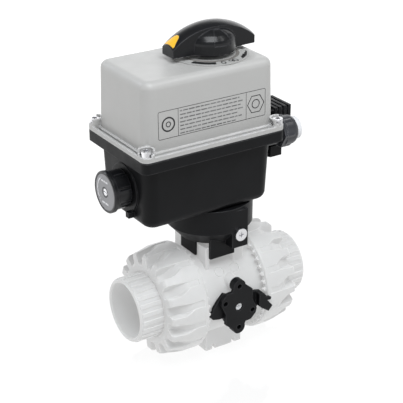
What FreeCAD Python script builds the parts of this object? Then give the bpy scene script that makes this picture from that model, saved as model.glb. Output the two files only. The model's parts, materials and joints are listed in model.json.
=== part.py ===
"""Motorized valve actuator: a quarter-turn electric drive on a true-union ball valve.

Frame: X along the pipe, Z up, -Y towards the front. The origin is the centre of the foot's
underside, and the valve's stem and the drive's output shaft stand on the Z axis.
Every length is in millimetres and every angle is in degrees.
"""
import FreeCAD, Part
import Sketcher
import math
import os
import re

os.makedirs("parts", exist_ok=True)
doc = FreeCAD.newDocument("valve_actuator")

# ---------------------------------------------------------------- driving dimensions

DIMENSIONS = {
    # valve
    "axis_height": 52.0, "barrel_r": 40.0, "barrel_half": 32.0, "thread_r": 43.0,
    "body_half": 49.0, "flow_r": 19.0, "ball_r": 28.0, "cavity_r": 29.5, "seat_r": 26.0,
    "seat_back": 27.0, "carrier_r": 31.5, "carrier_end": 42.0, "fit_gap": 0.05,
    "stem_r": 9.0, "stem_bore_r": 9.05, "stem_top": 118.0, "blade_half": 3.5,
    "neck_r": 14.5, "neck_top": 96.0,
    "notch_height": 4.5, "mark_x": 7.9, "mark_r": 4.5, "mark_turn": 46.0,
    "foot_half_x": 18.8, "foot_half_y": 24.5, "foot_rise": 22.0, "notch_x": 10.5,
    "notch_width": 3.0, "insert_r": 5.0, "insert_bore_r": 3.4, "insert_depth": 12.0,
    "insert_pitch": 30.0,
    "post_in": 15.5, "post_out": 19.5, "post_low_y": 12.0, "post_high_y": 25.0,
    "post_top": 104.0, "tower_in": 9.0, "tower_top": 125.0,
    # unions
    "nut_start": 30.4, "nut_end": 65.0, "nut_r": 49.0, "nut_end_r": 46.0, "nut_bore_r": 43.3,
    "nut_rim_r": 47.8, "nut_lip_r": 29.6, "nut_lip_start": 55.5, "nut_face_r": 35.0,
    "crown_start": 28.0, "crown_r": 46.8, "crown_teeth": 40, "crown_gap": 4.7,
    "nut_phase": 5.4, "lobe_count": 16, "recess_start": 34.6,
    "recess_floor_r": 48.3, "lobe_turn_start": 44.0, "lobe_turn_end": 56.0,
    "lobe_wide_half": 6.6, "lobe_tip_low": 1.9, "lobe_tip_high": 5.4,
    "socket_r": 25.0, "socket_depth": 31.0, "tail_r": 28.3, "tail_end": 87.0,
    "collar_r": 40.0, "collar_start": 49.2, "collar_end": 55.3, "tail_ribs": 24,
    "rib_half": 1.8, "rib_height": 0.7, "ring_cord": 1.5, "ring_r": 36.0,
    # union lock
    "lock_front": 49.0, "lock_plate_back": 45.6, "lever_back": 42.2, "lever_front": 45.3,
    "finger_reach": 28.4,
    "boss_r": 12.0, "boss_face": 42.0, "lock_post_z": 20.4, "lock_post_r": 5.6,
    "lock_pad_r": 6.2, "lock_hole_r": 2.3, "side_hole_x": 14.4, "side_hole_z": 7.2,
    "grip_face": 50.9, "grip_back": 49.25,
    # adapter bracket
    "adapter_r": 38.5, "adapter_wall": 4.0, "adapter_top": 142.0, "adapter_deck": 6.0,
    "adapter_skirt": 120.0, "cone_low": 107.0, "cone_r": 26.5, "leg_x": 21.7, "leg_half": 11.5,
    "leg_bottom": 92.8, "apron_y": 28.0, "apron_in": 25.3, "apron_bottom": 94.0,
    "apron_long": 16.5, "apron_short": 8.4, "lug_low_x": -1.0, "lug_high_x": 15.0, "lug_bottom": 104.7,
    "lug_top": 139.5, "lug_screw_x": 7.0, "lug_screw_z": 117.0,
    "flange_pcd": 50.0, "flange_screw_r": 2.5,
    # drive housing
    "box_x_low": -85.2, "box_x_high": 40.8, "box_y_low": -38.8, "box_y_high": 40.6,
    "rim_x_low": -91.4, "rim_x_high": 46.3, "rim_y_low": -46.9, "rim_y_high": 47.9,
    "housing_bottom": 142.0, "split_z": 206.9, "rim_depth": 9.0, "housing_draft": 2.3,
    "housing_wall": 3.5, "housing_floor": 4.0, "rim_corner_r": 6.0,
    # cover
    "cover_rim": 4.9, "gutter_depth": 2.3, "rim_lip": 1.8, "cover_ledge": 1.9,
    "cover_top": 269.3, "cover_draft": 1.2, "cover_wall": 3.0,
    "cover_corner_r": 9.0, "cover_edge_r": 6.5, "gasket": 1.0, "shaft_hole_r": 12.0,
    "screw_inset": 5.2, "corner_boss_r": 7.0, "corner_boss_top": 214.4, "boss_wall_top": 218.0,
    "head_r": 4.3, "head_height": 5.0, "screw_seat": 212.0, "head_pocket_r": 5.3,
    "drain_r": 2.9, "drain_z": 214.1,
    # handle
    "handle_bottom": 274.0, "handle_half": 40.0, "crest_z": 297.7,
    "arch_r": 61.7, "grip_half": 10.0, "grip_end_half": 8.2, "crown_drop": 3.0,
    "hub_r": 22.0, "hub_skirt": 281.5, "dome_rise": 13.0, "facet_depth": 0.6, "inlay": 1.2,
    "dial_r": 33.0, "dial_height": 0.9,
    # output shaft and gearing
    "shaft_r": 8.0, "shaft_high": 292.0, "module_out": 1.0,
    "teeth_out": 62, "teeth_small": 14, "gear_out_z": 152.0, "gear_out_width": 9.0,
    "module_two": 0.8, "teeth_two": 50, "gear_two_z": 163.0, "gear_two_width": 6.0,
    "module_one": 0.6, "teeth_one": 54, "gear_one_z": 171.0, "gear_one_width": 5.0,
    "stage_turn_two": 140.0, "stage_turn_motor": 255.0, "pin_r": 2.5, "play": 0.12,
    "plate_z": 178.0, "plate_thick": 2.5, "motor_r": 12.5, "motor_length": 38.0,
    # switching
    "cam_r": 15.0, "cam_low_z": 192.0, "cam_width": 6.0, "cam_pitch": 11.0,
    # selector on the left wall
    "knob_y": -2.0, "knob_z": 170.0, "knob_face": -103.0, "knob_back": -86.6, "knob_r": 18.0,
    "knob_body_r": 16.4, "disc_r": 15.6, "boss_ring_r": 21.0, "spindle_r": 4.0,
    # cable gland and plug on the right wall
    "gland_y": -26.0, "gland_z": 197.0, "gland_bore_r": 5.0, "gland_thread_r": 8.0,
    "gland_boss_r": 9.8, "gland_hex_r": 14.0, "gland_hex_start": 52.0, "gland_hex_end": 54.6,
    "gland_nut_end": 62.6, "gland_tip": 67.6, "gland_sleeve_r": 10.0, "gland_sleeve_end": 72.0,
    "plug_y_low": -11.5, "plug_y_high": 16.0, "plug_top": 212.4, "plug_bottom": 180.0,
    "plug_base_x": 52.0, "plug_x": 78.0, "fin_count": 4, "fin_pitch": 4.9,
    "throat_x": 66.0, "throat_r": 8.5, "plug_bore_r": 5.0, "plug_nut_r": 11.8,
}

sheet = doc.addObject("Spreadsheet::Sheet", "Dims")
for row, (alias, number) in enumerate(DIMENSIONS.items(), start=1):
    sheet.set("A%d" % row, alias)
    sheet.set("B%d" % row, str(number))
    sheet.setAlias("B%d" % row, alias)
doc.recompute()

# ---------------------------------------------------------------- helpers

AXIS_TURNS = {
    "Z": FreeCAD.Rotation(),
    "X": FreeCAD.Rotation(FreeCAD.Vector(0, 1, 0), 90),
    "Y": FreeCAD.Rotation(FreeCAD.Vector(1, 0, 0), -90),
}
PLANES = {"Z": "XY_Plane", "Y": "XZ_Plane", "X": "YZ_Plane"}


def linked(expression):
    """The expression with every alias pointed at the sheet."""
    def point(match):
        word = match.group()
        return "Dims." + word if word in DIMENSIONS else word
    return re.sub(r"[A-Za-z_][A-Za-z_0-9]*", point, str(expression))


def number(expression):
    """What an expression of aliases comes to now."""
    result = sheet.evalExpression(linked(expression))
    return float(getattr(result, "Value", result))


def bind(item, **properties):
    """Bind properties, written as Length or Placement__Base__x, to expressions."""
    for name, expression in properties.items():
        item.setExpression(name.replace("__", "."), linked(expression))
    return item


def move(item, x="0", y="0", z="0", turn=None):
    if turn is not None:
        item.Placement = FreeCAD.Placement(FreeCAD.Vector(), turn)
    return bind(item, Placement__Base__x=x, Placement__Base__y=y, Placement__Base__z=z)


def labelled(kind, label):
    item = doc.addObject(kind, label)
    item.Label = label
    return item


def block(label, x_low, x_high, y_low, y_high, z_low, z_high):
    item = labelled("Part::Box", label)
    bind(item, Length="(%s)-(%s)" % (x_high, x_low), Width="(%s)-(%s)" % (y_high, y_low),
         Height="(%s)-(%s)" % (z_high, z_low))
    return move(item, x_low, y_low, z_low)


def rod(label, radius, low, high, axis="Z", x="0", y="0", z="0"):
    """A cylinder from low to high along an axis, through the point given by the rest."""
    item = labelled("Part::Cylinder", label)
    bind(item, Radius=radius, Height="(%s)-(%s)" % (high, low))
    base = {"X": (low, y, z), "Y": (x, low, z), "Z": (x, y, low)}[axis]
    return move(item, *base, turn=AXIS_TURNS[axis])


def hexagon(label, corner_radius, low, high, axis="Z", x="0", y="0", z="0"):
    item = labelled("Part::Prism", label)
    item.Polygon = 6
    bind(item, Circumradius=corner_radius, Height="(%s)-(%s)" % (high, low))
    base = {"X": (low, y, z), "Y": (x, low, z), "Z": (x, y, low)}[axis]
    return move(item, *base, turn=AXIS_TURNS[axis])


def torus(label, radius, thickness, axis, x="0", y="0", z="0"):
    """An O-ring round an axis: its centre-line radius and its cord's radius."""
    item = labelled("Part::Torus", label)
    bind(item, Radius1=radius, Radius2=thickness)
    return move(item, x, y, z, turn=AXIS_TURNS[axis])


def fuse(label, *shapes):
    item = labelled("Part::MultiFuse", label)
    item.Shapes = list(shapes)
    item.Refine = True
    return item


def cut(label, base, *tools):
    item = labelled("Part::Cut", label)
    item.Base = base
    item.Tool = tools[0] if len(tools) == 1 else fuse(label + "_tools", *tools)
    item.Refine = True
    return item


def common(label, *shapes):
    item = labelled("Part::MultiCommon", label)
    item.Shapes = list(shapes)
    return item


def group(label, *shapes):
    """Separate solids that share one node."""
    item = labelled("Part::Compound", label)
    item.Links = list(shapes)
    return item


def origin_plane(body, axis):
    role = PLANES[axis]
    return next(item for item in body.Origin.OriginFeatures if item.Role == role)


def sketch_on(body, label, axis, points, level="0"):
    """A closed outline of bound corners, on a plane across an axis, at a level along it."""
    sketch = body.newObject("Sketcher::SketchObject", label)
    sketch.AttachmentSupport = [(origin_plane(body, axis), "")]
    sketch.MapMode = "FlatFace"
    sign = "-1" if axis == "Y" else "1"
    bind(sketch, AttachmentOffset__Base__z="%s*(%s)" % (sign, level))
    corners = [FreeCAD.Vector(number(u), number(v), 0) for u, v in points]
    count = len(corners)
    for index in range(count):
        line = Part.LineSegment(corners[index], corners[(index + 1) % count])
        sketch.addGeometry(line)
    for index in range(count):
        sketch.addConstraint(Sketcher.Constraint("Coincident", index, 2, (index + 1) % count, 1))
    for index, (u, v) in enumerate(points):
        for kind, expression, value in (("DistanceX", u, corners[index].x),
                                        ("DistanceY", v, corners[index].y)):
            place = sketch.addConstraint(Sketcher.Constraint(kind, -1, 1, index, 1, value))
            sketch.setExpression("Constraints[%d]" % place, linked(expression))
    return sketch


def extruded(label, axis, points, low, high):
    """A straight extrusion of an outline from low to high along an axis."""
    body = labelled("PartDesign::Body", label)
    level = high if axis == "Y" else low
    sketch = sketch_on(body, label + "_outline", axis, points, level)
    pad = body.newObject("PartDesign::Pad", label + "_pad")
    pad.Profile = sketch
    bind(pad, Length="(%s)-(%s)" % (high, low))
    return body


def turned(label, axis, points, turn=360):
    """A solid of revolution. Each point is (radius, distance along the axis)."""
    body = labelled("PartDesign::Body", label)
    if axis == "X":
        sketch = sketch_on(body, label + "_profile", "Z", [(a, r) for r, a in points])
        reference = "H_Axis"
    elif axis == "Y":
        sketch = sketch_on(body, label + "_profile", "Z", points)
        reference = "V_Axis"
    else:
        sketch = sketch_on(body, label + "_profile", "Y", points)
        reference = "V_Axis"
    spin = body.newObject("PartDesign::Revolution", label + "_spin")
    spin.Profile = sketch
    spin.ReferenceAxis = (sketch, [reference])
    spin.Angle = turn
    return body


def rectangle(x_low, x_high, y_low, y_high):
    return [(x_low, y_low), (x_high, y_low), (x_high, y_high), (x_low, y_high)]


def edges_that(shape, test):
    return ["Edge%d" % place for place, edge in enumerate(shape.Edges, start=1) if test(edge)]


def upright(edge):
    start, end = edge.Vertexes[0].Point, edge.Vertexes[-1].Point
    return (end - start).Length > 0 and abs(end.z - start.z) > 0.9 * (end - start).Length


def at_level(height):
    """A test for edges that lie at one height."""
    def test(edge):
        return all(abs(vertex.Z - height) < 0.01 for vertex in edge.Vertexes)
    return test


def round_edges(body, label, test, radius, kind="PartDesign::Fillet"):
    """Fillet or chamfer the edges of a body's tip that pass a test."""
    doc.recompute()
    tip = body.Tip
    names = edges_that(tip.Shape, test)
    if not names:
        raise RuntimeError("no edge to round for " + label)
    item = body.newObject(kind, label)
    item.Base = (tip, names)
    bind(item, **{"Radius" if kind.endswith("Fillet") else "Size": radius})
    return item


def tapered_box(label, box, wide_level, narrow_level, draft, corner, edge):
    """A moulded box: full size at its wide end, drafted and rounded towards the narrow end."""
    body = labelled("PartDesign::Body", label)
    outline = sketch_on(body, label + "_outline", "Z", rectangle(*box), wide_level)
    pad = body.newObject("PartDesign::Pad", label + "_pad")
    pad.Profile = outline
    pad.Reversed = number(narrow_level) < number(wide_level)
    height = "abs((%s)-(%s))" % (narrow_level, wide_level)
    bind(pad, Length=height, TaperAngle="-atan((%s)/(%s))" % (draft, height))
    round_edges(body, label + "_corners", upright, corner)
    round_edges(body, label + "_edge", at_level(number(narrow_level)), edge)
    return body


def inset_box(box, inset):
    """The same rectangle with every side moved in."""
    return tuple("%s%s(%s)" % (side, sign, inset) for side, sign in zip(box, "+-+-"))


def rounded_plate(label, box, low, high, corner):
    body = extruded(label, "Z", rectangle(*box), low, high)
    round_edges(body, label + "_corners", upright, corner)
    return body


def round_pattern(body, label, feature, axis, count):
    """Repeat one feature of a body all the way round an origin axis."""
    role = axis + "_Axis"
    line = next(item for item in body.Origin.OriginFeatures if item.Role == role)
    pattern = body.newObject("PartDesign::PolarPattern", label)
    pattern.Originals = [feature]
    pattern.Axis = (line, [""])
    pattern.Angle = 360
    bind(pattern, Occurrences=count)
    body.Tip = pattern
    return pattern


BOX = ("box_x_low", "box_x_high", "box_y_low", "box_y_high")
RIM = ("rim_x_low", "rim_x_high", "rim_y_low", "rim_y_high")
NODES = {}


def keep(item):
    """Register a finished sub-part under its own label."""
    NODES[item.Label] = item
    return item


# ---------------------------------------------------------------- valve

def valve_body():
    """The white barrel with its threaded ends, neck, handle-stop posts and foot."""
    shell = turned("valve_shell", "X", [
        ("0", "-body_half"), ("thread_r", "-body_half"), ("thread_r", "-barrel_half"),
        ("barrel_r", "-barrel_half"), ("barrel_r", "barrel_half"),
        ("thread_r", "barrel_half"), ("thread_r", "body_half"), ("0", "body_half")])
    move(shell, z="axis_height")
    neck = rod("valve_neck", "neck_r", "axis_height", "neck_top")
    foot = block("valve_foot", "-foot_half_x", "foot_half_x", "-foot_half_y", "foot_half_y",
                 "0", "foot_rise+10")
    boss = rod("lock_boss", "boss_r", "-boss_face", "0", "Y", z="axis_height")
    solids = [shell, neck, foot, boss]
    for tag, sign in (("upper", "1"), ("lower", "-1")):
        solids.append(rod("lock_pillar_" + tag, "lock_post_r", "-lever_back", "0", "Y",
                          z="axis_height+%s*lock_post_z" % sign))
    for side in (-1, 1):
        for end in (-1, 1):
            wide = side * end < 0
            inner = "tower_in" if wide else "post_in"
            x_pair = ("-post_out", "-" + inner) if side < 0 else (inner, "post_out")
            y_pair = ("-post_high_y", "-post_low_y") if end < 0 else ("post_low_y",
                                                                      "post_high_y")
            top = "tower_top" if wide else "post_top"
            solids.append(block("stop_post", *x_pair, *y_pair, "axis_height", top))
            if wide:
                x_pair = ("-post_out", "-1") if side < 0 else ("1", "post_out")
                solids.append(block("screw_tower", *x_pair, *y_pair, "apron_bottom+6", top))
    solid = fuse("valve_solid", *solids)
    hollows = [
        rod("flow_bore", "flow_r", "-body_half-1", "0", "X", z="axis_height"),
        rod("ball_chamber", "cavity_r", "-seat_back", "seat_back", "X", z="axis_height"),
        rod("carrier_bore", "carrier_r", "seat_back-4", "body_half+1", "X", z="axis_height"),
        rod("stem_bore", "stem_bore_r", "axis_height", "neck_top+1"),
        rod("lock_screw_hole", "1.9", "-boss_face-1", "-boss_face+9", "Y", z="axis_height"),
    ]
    for sign in ("-1", "1"):
        hollows.append(rod("insert_hole", "insert_r", "-1", "insert_depth",
                           y="%s*insert_pitch/2" % sign))
        y_pair = ("-26", "-12") if sign == "-1" else ("12", "26")
        hollows.append(rod("tower_hole", "2.1", *y_pair, "Y", x="-(%s)*lug_screw_x" % sign,
                           z="lug_screw_z"))
        for edge in ("-1", "1"):
            y_pair = ("-foot_half_y-1", "-foot_half_y+5") if edge == "-1" else (
                "foot_half_y-5", "foot_half_y+1")
            hollows.append(block("foot_notch", "%s*notch_x-notch_width/2" % sign,
                                 "%s*notch_x+notch_width/2" % sign, *y_pair, "-1",
                                 "notch_height"))
        hollows.append(torus("union_groove", "ring_r", "ring_cord+0.05", "X",
                             x="%s*(body_half-ring_cord+0.1)" % sign, z="axis_height"))
        hollows.append(ejector_mark(sign))
    return keep(cut("valve_body", solid, *hollows))


def ejector_mark(sign):
    """A shallow round groove in the barrel's front, square to its surface."""
    turn = FreeCAD.Rotation(FreeCAD.Vector(1, 0, 0), number("mark_turn"))
    rings = []
    for radius in ("mark_r", "mark_r-0.5"):
        ring = labelled("Part::Cylinder", "mark_ring")
        bind(ring, Radius=radius, Height="3")
        reach = "(barrel_r-0.9)"
        move(ring, "%s*mark_x" % sign, "-%s*sin(mark_turn)" % reach,
             "axis_height+%s*cos(mark_turn)" % reach, turn)
        rings.append(ring)
    return cut("ejector_mark", *rings)


def ball():
    """The ball with its flow bore and the slot that the stem's blade turns it by."""
    sphere = labelled("Part::Sphere", "ball_sphere")
    bind(sphere, Radius="ball_r")
    move(sphere, z="axis_height")
    bore = rod("ball_bore", "flow_r", "-ball_r", "ball_r", "X", z="axis_height")
    slot = block("ball_slot", "-14", "14", "-blade_half-fit_gap", "blade_half+fit_gap",
                 "axis_height+21.5", "axis_height+ball_r+1")
    return keep(cut("ball", sphere, bore, slot))


def seats_and_seals():
    """Two plastic seats, the threaded carrier behind one of them, and the O-rings."""
    rings = []
    for sign in (-1, 1):
        ring = turned("seat_ring", "X", [
            ("flow_r", "15"), ("seat_r-1.5", "15"), ("seat_r-1.5", "seat_back-0.3"),
            ("flow_r", "seat_back-0.3")])
        turn = FreeCAD.Rotation(FreeCAD.Vector(0, 0, 1), 0 if sign > 0 else 180)
        move(ring, z="axis_height", turn=turn)
        hollow = labelled("Part::Sphere", "seat_hollow")
        bind(hollow, Radius="ball_r+fit_gap")
        move(hollow, z="axis_height")
        rings.append(cut("seat_cut", ring, hollow))
    keep(group("ball_seats", *rings))
    carrier = turned("carrier_blank", "X", [
        ("flow_r", "seat_back"), ("carrier_r-0.05", "seat_back"),
        ("carrier_r-0.05", "carrier_end"), ("flow_r+3", "carrier_end"),
        ("flow_r", "carrier_end-3")])
    move(carrier, z="axis_height")
    groove = turned("carrier_groove", "X", [
        ("carrier_r-2.2", "33"), ("carrier_r+1", "33"), ("carrier_r+1", "36"),
        ("carrier_r-2.2", "36")])
    move(groove, z="axis_height")
    keys = [block("carrier_key", "carrier_end-2.5", "carrier_end+1", "%s" % low, "%s" % high,
                  "axis_height-3", "axis_height+3")
            for low, high in ((22, 33), (-33, -22))]
    keep(cut("seat_carrier", carrier, groove, *keys))
    keep(torus("carrier_seal", "carrier_r-1.12", "1.03", "X", x="34.5", z="axis_height"))
    keep(group("union_seals", *[
        torus("union_ring", "ring_r", "ring_cord", "X",
              x="%d*(body_half-ring_cord+0.1)" % sign, z="axis_height")
        for sign in (-1, 1)]))


def stem():
    """The stem: a blade in the ball, two O-rings and a square head for the coupling."""
    shank = rod("stem_shank", "stem_r", "axis_height+30.5", "stem_top-16")
    blade = block("stem_blade", "-13.5", "13.5", "-blade_half", "blade_half",
                  "axis_height+22", "axis_height+31")
    blade_round = rod("stem_blade_round", "stem_r", "axis_height+20", "axis_height+31")
    head = block("stem_square", "-6", "6", "-6", "6", "stem_top-17", "stem_top")
    solid = fuse("stem_solid", shank, common("stem_tang", blade, blade_round), head)
    grooves = []
    rings = []
    for place, height in enumerate(("axis_height+34", "axis_height+39")):
        grooves.append(turned("stem_groove_%d" % place, "Z", [
            ("stem_r-1.9", "-1.1"), ("stem_r+1", "-1.1"), ("stem_r+1", "1.1"),
            ("stem_r-1.9", "1.1")]))
        move(grooves[-1], z=height)
        rings.append(torus("stem_ring", "stem_r-0.94", "0.93", "Z", z=height))
    keep(cut("valve_stem", solid, *grooves))
    keep(group("stem_seals", *rings))


def end_connector(label, turn):
    """A socket tail: a collar that the nut grips and a ribbed sleeve round the pipe socket."""
    body = turned(label, "X", [
        ("flow_r+1", "collar_start"), ("collar_r", "collar_start"), ("collar_r", "collar_end"),
        ("tail_r", "collar_end"), ("tail_r", "tail_end-1"), ("tail_r-1", "tail_end"),
        ("socket_r+1", "tail_end"), ("socket_r", "tail_end-1"),
        ("socket_r", "tail_end-socket_depth"), ("flow_r+1", "tail_end-socket_depth")])
    rib_sketch = sketch_on(body, label + "_rib_outline", "X",
                           rectangle("tail_r-0.5", "tail_r+rib_height", "-rib_half",
                                     "rib_half"), "nut_end-1")
    rib = body.newObject("PartDesign::Pad", label + "_rib")
    rib.Profile = rib_sketch
    bind(rib, Length="tail_end-nut_end-1.2")
    doc.recompute()
    round_pattern(body, label + "_ribs", rib, "X", "tail_ribs")
    move(body, z="axis_height", turn=turn)
    return keep(body)


def nut_profile(outer):
    """The nut's section: its bore and lip, closed by an outer line of (radius, place)."""
    return [("nut_lip_r", "nut_end-1"), ("nut_lip_r", "nut_lip_start"),
            ("nut_bore_r", "nut_lip_start"), ("nut_bore_r", "crown_start"),
            ("crown_r", "crown_start"), ("crown_r", "nut_start"), ("nut_rim_r", "nut_start"),
            ("nut_r", "nut_start+1.6")] + outer + [("nut_lip_r+1", "nut_end")]


def union_nut(label, turn):
    """A lobed ring nut whose inner rim carries a crown of lock teeth."""
    body = turned(label + "_blank", "X", nut_profile([
        ("nut_r", "nut_start+14"), ("nut_end_r", "nut_end-2"), ("nut_end_r-2", "nut_end")]))
    gap_sketch = sketch_on(body, label + "_gap_outline", "X",
                           rectangle("nut_bore_r-3", "crown_r+1", "-crown_gap/2",
                                     "crown_gap/2"), "crown_start-1")
    gap = body.newObject("PartDesign::Pocket", label + "_gap")
    gap.Profile = gap_sketch
    gap.Reversed = True
    bind(gap, Length="nut_start-crown_start+1")
    doc.recompute()
    round_pattern(body, label + "_crown", gap, "X", "crown_teeth")
    doc.recompute()
    core = turned(label + "_core", "X", nut_profile([
        ("nut_r", "recess_start"), ("recess_floor_r", "recess_start"),
        ("recess_floor_r-0.3", "lobe_turn_start"), ("nut_face_r+8.5", "nut_end-11"),
        ("nut_face_r+4.5", "nut_end-5"), ("nut_face_r+2.5", "nut_end-1"),
        ("nut_face_r", "nut_end")]))
    lobe_sketch = sketch_on(body=core, label=label + "_lobe_outline", axis="Z", points=[
        ("recess_start-1", "-lobe_wide_half"), ("lobe_turn_start", "-lobe_wide_half"),
        ("lobe_turn_start+5", "-lobe_wide_half+1.4"), ("lobe_turn_end-4", "-lobe_tip_low-1.1"),
        ("lobe_turn_end", "-lobe_tip_low"), ("nut_end-1.5", "-lobe_tip_low"),
        ("nut_end", "-lobe_tip_low+1.5"), ("nut_end", "lobe_tip_high-1.5"),
        ("nut_end-1.5", "lobe_tip_high"), ("lobe_turn_end", "lobe_tip_high"),
        ("lobe_turn_start", "lobe_wide_half"), ("recess_start-1", "lobe_wide_half")],
        level="nut_face_r+1")
    lobe = core.newObject("PartDesign::Pad", label + "_lobe")
    lobe.Profile = lobe_sketch
    bind(lobe, Length="nut_r-nut_face_r")
    doc.recompute()
    round_pattern(core, label + "_lobes", lobe, "X", "lobe_count")
    nut = common(label + "_trimmed", body, core)
    blank = group(label, nut)
    spin = turn.multiply(FreeCAD.Rotation(FreeCAD.Vector(1, 0, 0), number("nut_phase")))
    move(blank, z="axis_height", turn=spin)
    return keep(blank)


def foot_inserts():
    """Threaded brass inserts for the screws that hold the valve down."""
    inserts = []
    for sign in ("-1", "1"):
        sleeve = rod("insert_sleeve", "insert_r-0.02", "0.2", "insert_depth-0.2",
                     y="%s*insert_pitch/2" % sign)
        bore = rod("insert_bore", "insert_bore_r", "0", "insert_depth",
                   y="%s*insert_pitch/2" % sign)
        inserts.append(cut("insert", sleeve, bore))
    return keep(group("foot_inserts", *inserts))


def both_sides(corners):
    """An outline of (x, z) corners and its own half turn about the lock's screw."""
    return [("%s*(%s)" % (sign, x), "%s*(%s)" % (sign, z))
            for sign in (1, -1) for x, z in corners]


def lock_plate():
    """The fixed face of the union lock, on two round pads that stand on the barrel's posts."""
    face = extruded("lock_face", "Y", both_sides([
        ("4.4", "22.6"), ("13.8", "14.3"), ("14", "3.6"), ("18.8", "-6.5"), ("17.8", "-11"),
        ("12.5", "-16"), ("7", "-16.3"), ("5.2", "-20.4")]), "-lock_front", "-lock_plate_back")
    move(face, z="axis_height")
    pads = [rod("lock_pad", "lock_pad_r", "-lock_front", "-lever_back-0.02", "Y",
                z="axis_height+%d*lock_post_z" % sign) for sign in (-1, 1)]
    holes = [rod("lock_hole", "lock_hole_r", "-lock_front-1", "-lock_plate_back+2", "Y",
                 x=x, z="axis_height+(%s)" % z)
             for x, z in (("0", "lock_post_z"), ("0", "-lock_post_z"),
                          ("-side_hole_x", "side_hole_z"), ("side_hole_x", "-side_hole_z"))]
    holes.append(rod("lock_centre_hole", "3.7", "-lock_front-1", "-lock_plate_back+1", "Y",
                     z="axis_height"))
    return keep(cut("lock_plate", fuse("lock_plate_solid", face, *pads), *holes))


def lock_lever():
    """The two-armed lever behind the plate. Its fingers stand in the nuts' crowns."""
    arms = extruded("lever_arms", "Y", both_sides([
        ("6.5", "13"), ("12.5", "13"), ("14.5", "8.4"), ("19", "8.4"), ("25.1", "6.9"),
        ("27.2", "4.3"), ("finger_reach-0.6", "4.1"), ("finger_reach", "2.3"),
        ("finger_reach", "1.3"), ("26.8", "0.9"),
        ("24.8", "-1"), ("24.6", "-3.4"), ("20", "-9.6"), ("13.9", "-15.6"),
        ("7.5", "-12.3")]), "-lever_front", "-lever_back")
    riser = extruded("lever_riser", "Y", [
        ("20.4", "7.2"), ("25.1", "6.9"), ("27.4", "4.2"), ("27.4", "-5.6"), ("22.1", "-6.8"),
        ("20.4", "-5")], "-grip_face", "-lever_back")
    nub = extruded("lever_nub", "Y", [
        ("26", "3"), ("31", "2.2"), ("33", "0.6"), ("32.6", "-1.6"), ("26", "-1")],
        "-grip_face", "-grip_back")
    tab = extruded("lever_tab", "Y", [
        ("22.1", "-6.8"), ("26", "0"), ("28.2", "-0.4"), ("34.6", "-8.2"), ("30.4", "-12.8")],
        "-grip_face", "-grip_back")
    pieces = [arms, riser, nub, tab]
    for piece in pieces:
        move(piece, z="axis_height")
    bore = rod("lever_bore", "3.05", "-lever_front-1", "-lever_back+1", "Y", z="axis_height")
    return keep(cut("lock_lever", fuse("lever_solid", *pieces), bore))


def lock_screw():
    """The screw that the lever turns on: a head in the plate, a sleeve and a shank."""
    head = rod("lock_screw_head", "3.3", "-lock_front+1.2", "-lock_plate_back+0.1", "Y",
               z="axis_height")
    sleeve = rod("lock_screw_sleeve", "3.0", "-lock_plate_back", "-boss_face-0.02", "Y",
                 z="axis_height")
    shank = rod("lock_screw_shank", "1.88", "-lock_plate_back", "-boss_face+8", "Y",
                z="axis_height")
    cross = [block("lock_screw_cross", "-%s" % x, x, "-lock_front", "-lock_front+2.4",
                   "axis_height-%s" % z, "axis_height+%s" % z)
             for x, z in (("2", "0.4"), ("0.4", "2"))]
    return keep(cut("lock_screw", fuse("lock_screw_solid", head, sleeve, shank), *cross))


# ---------------------------------------------------------------- adapter

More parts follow.
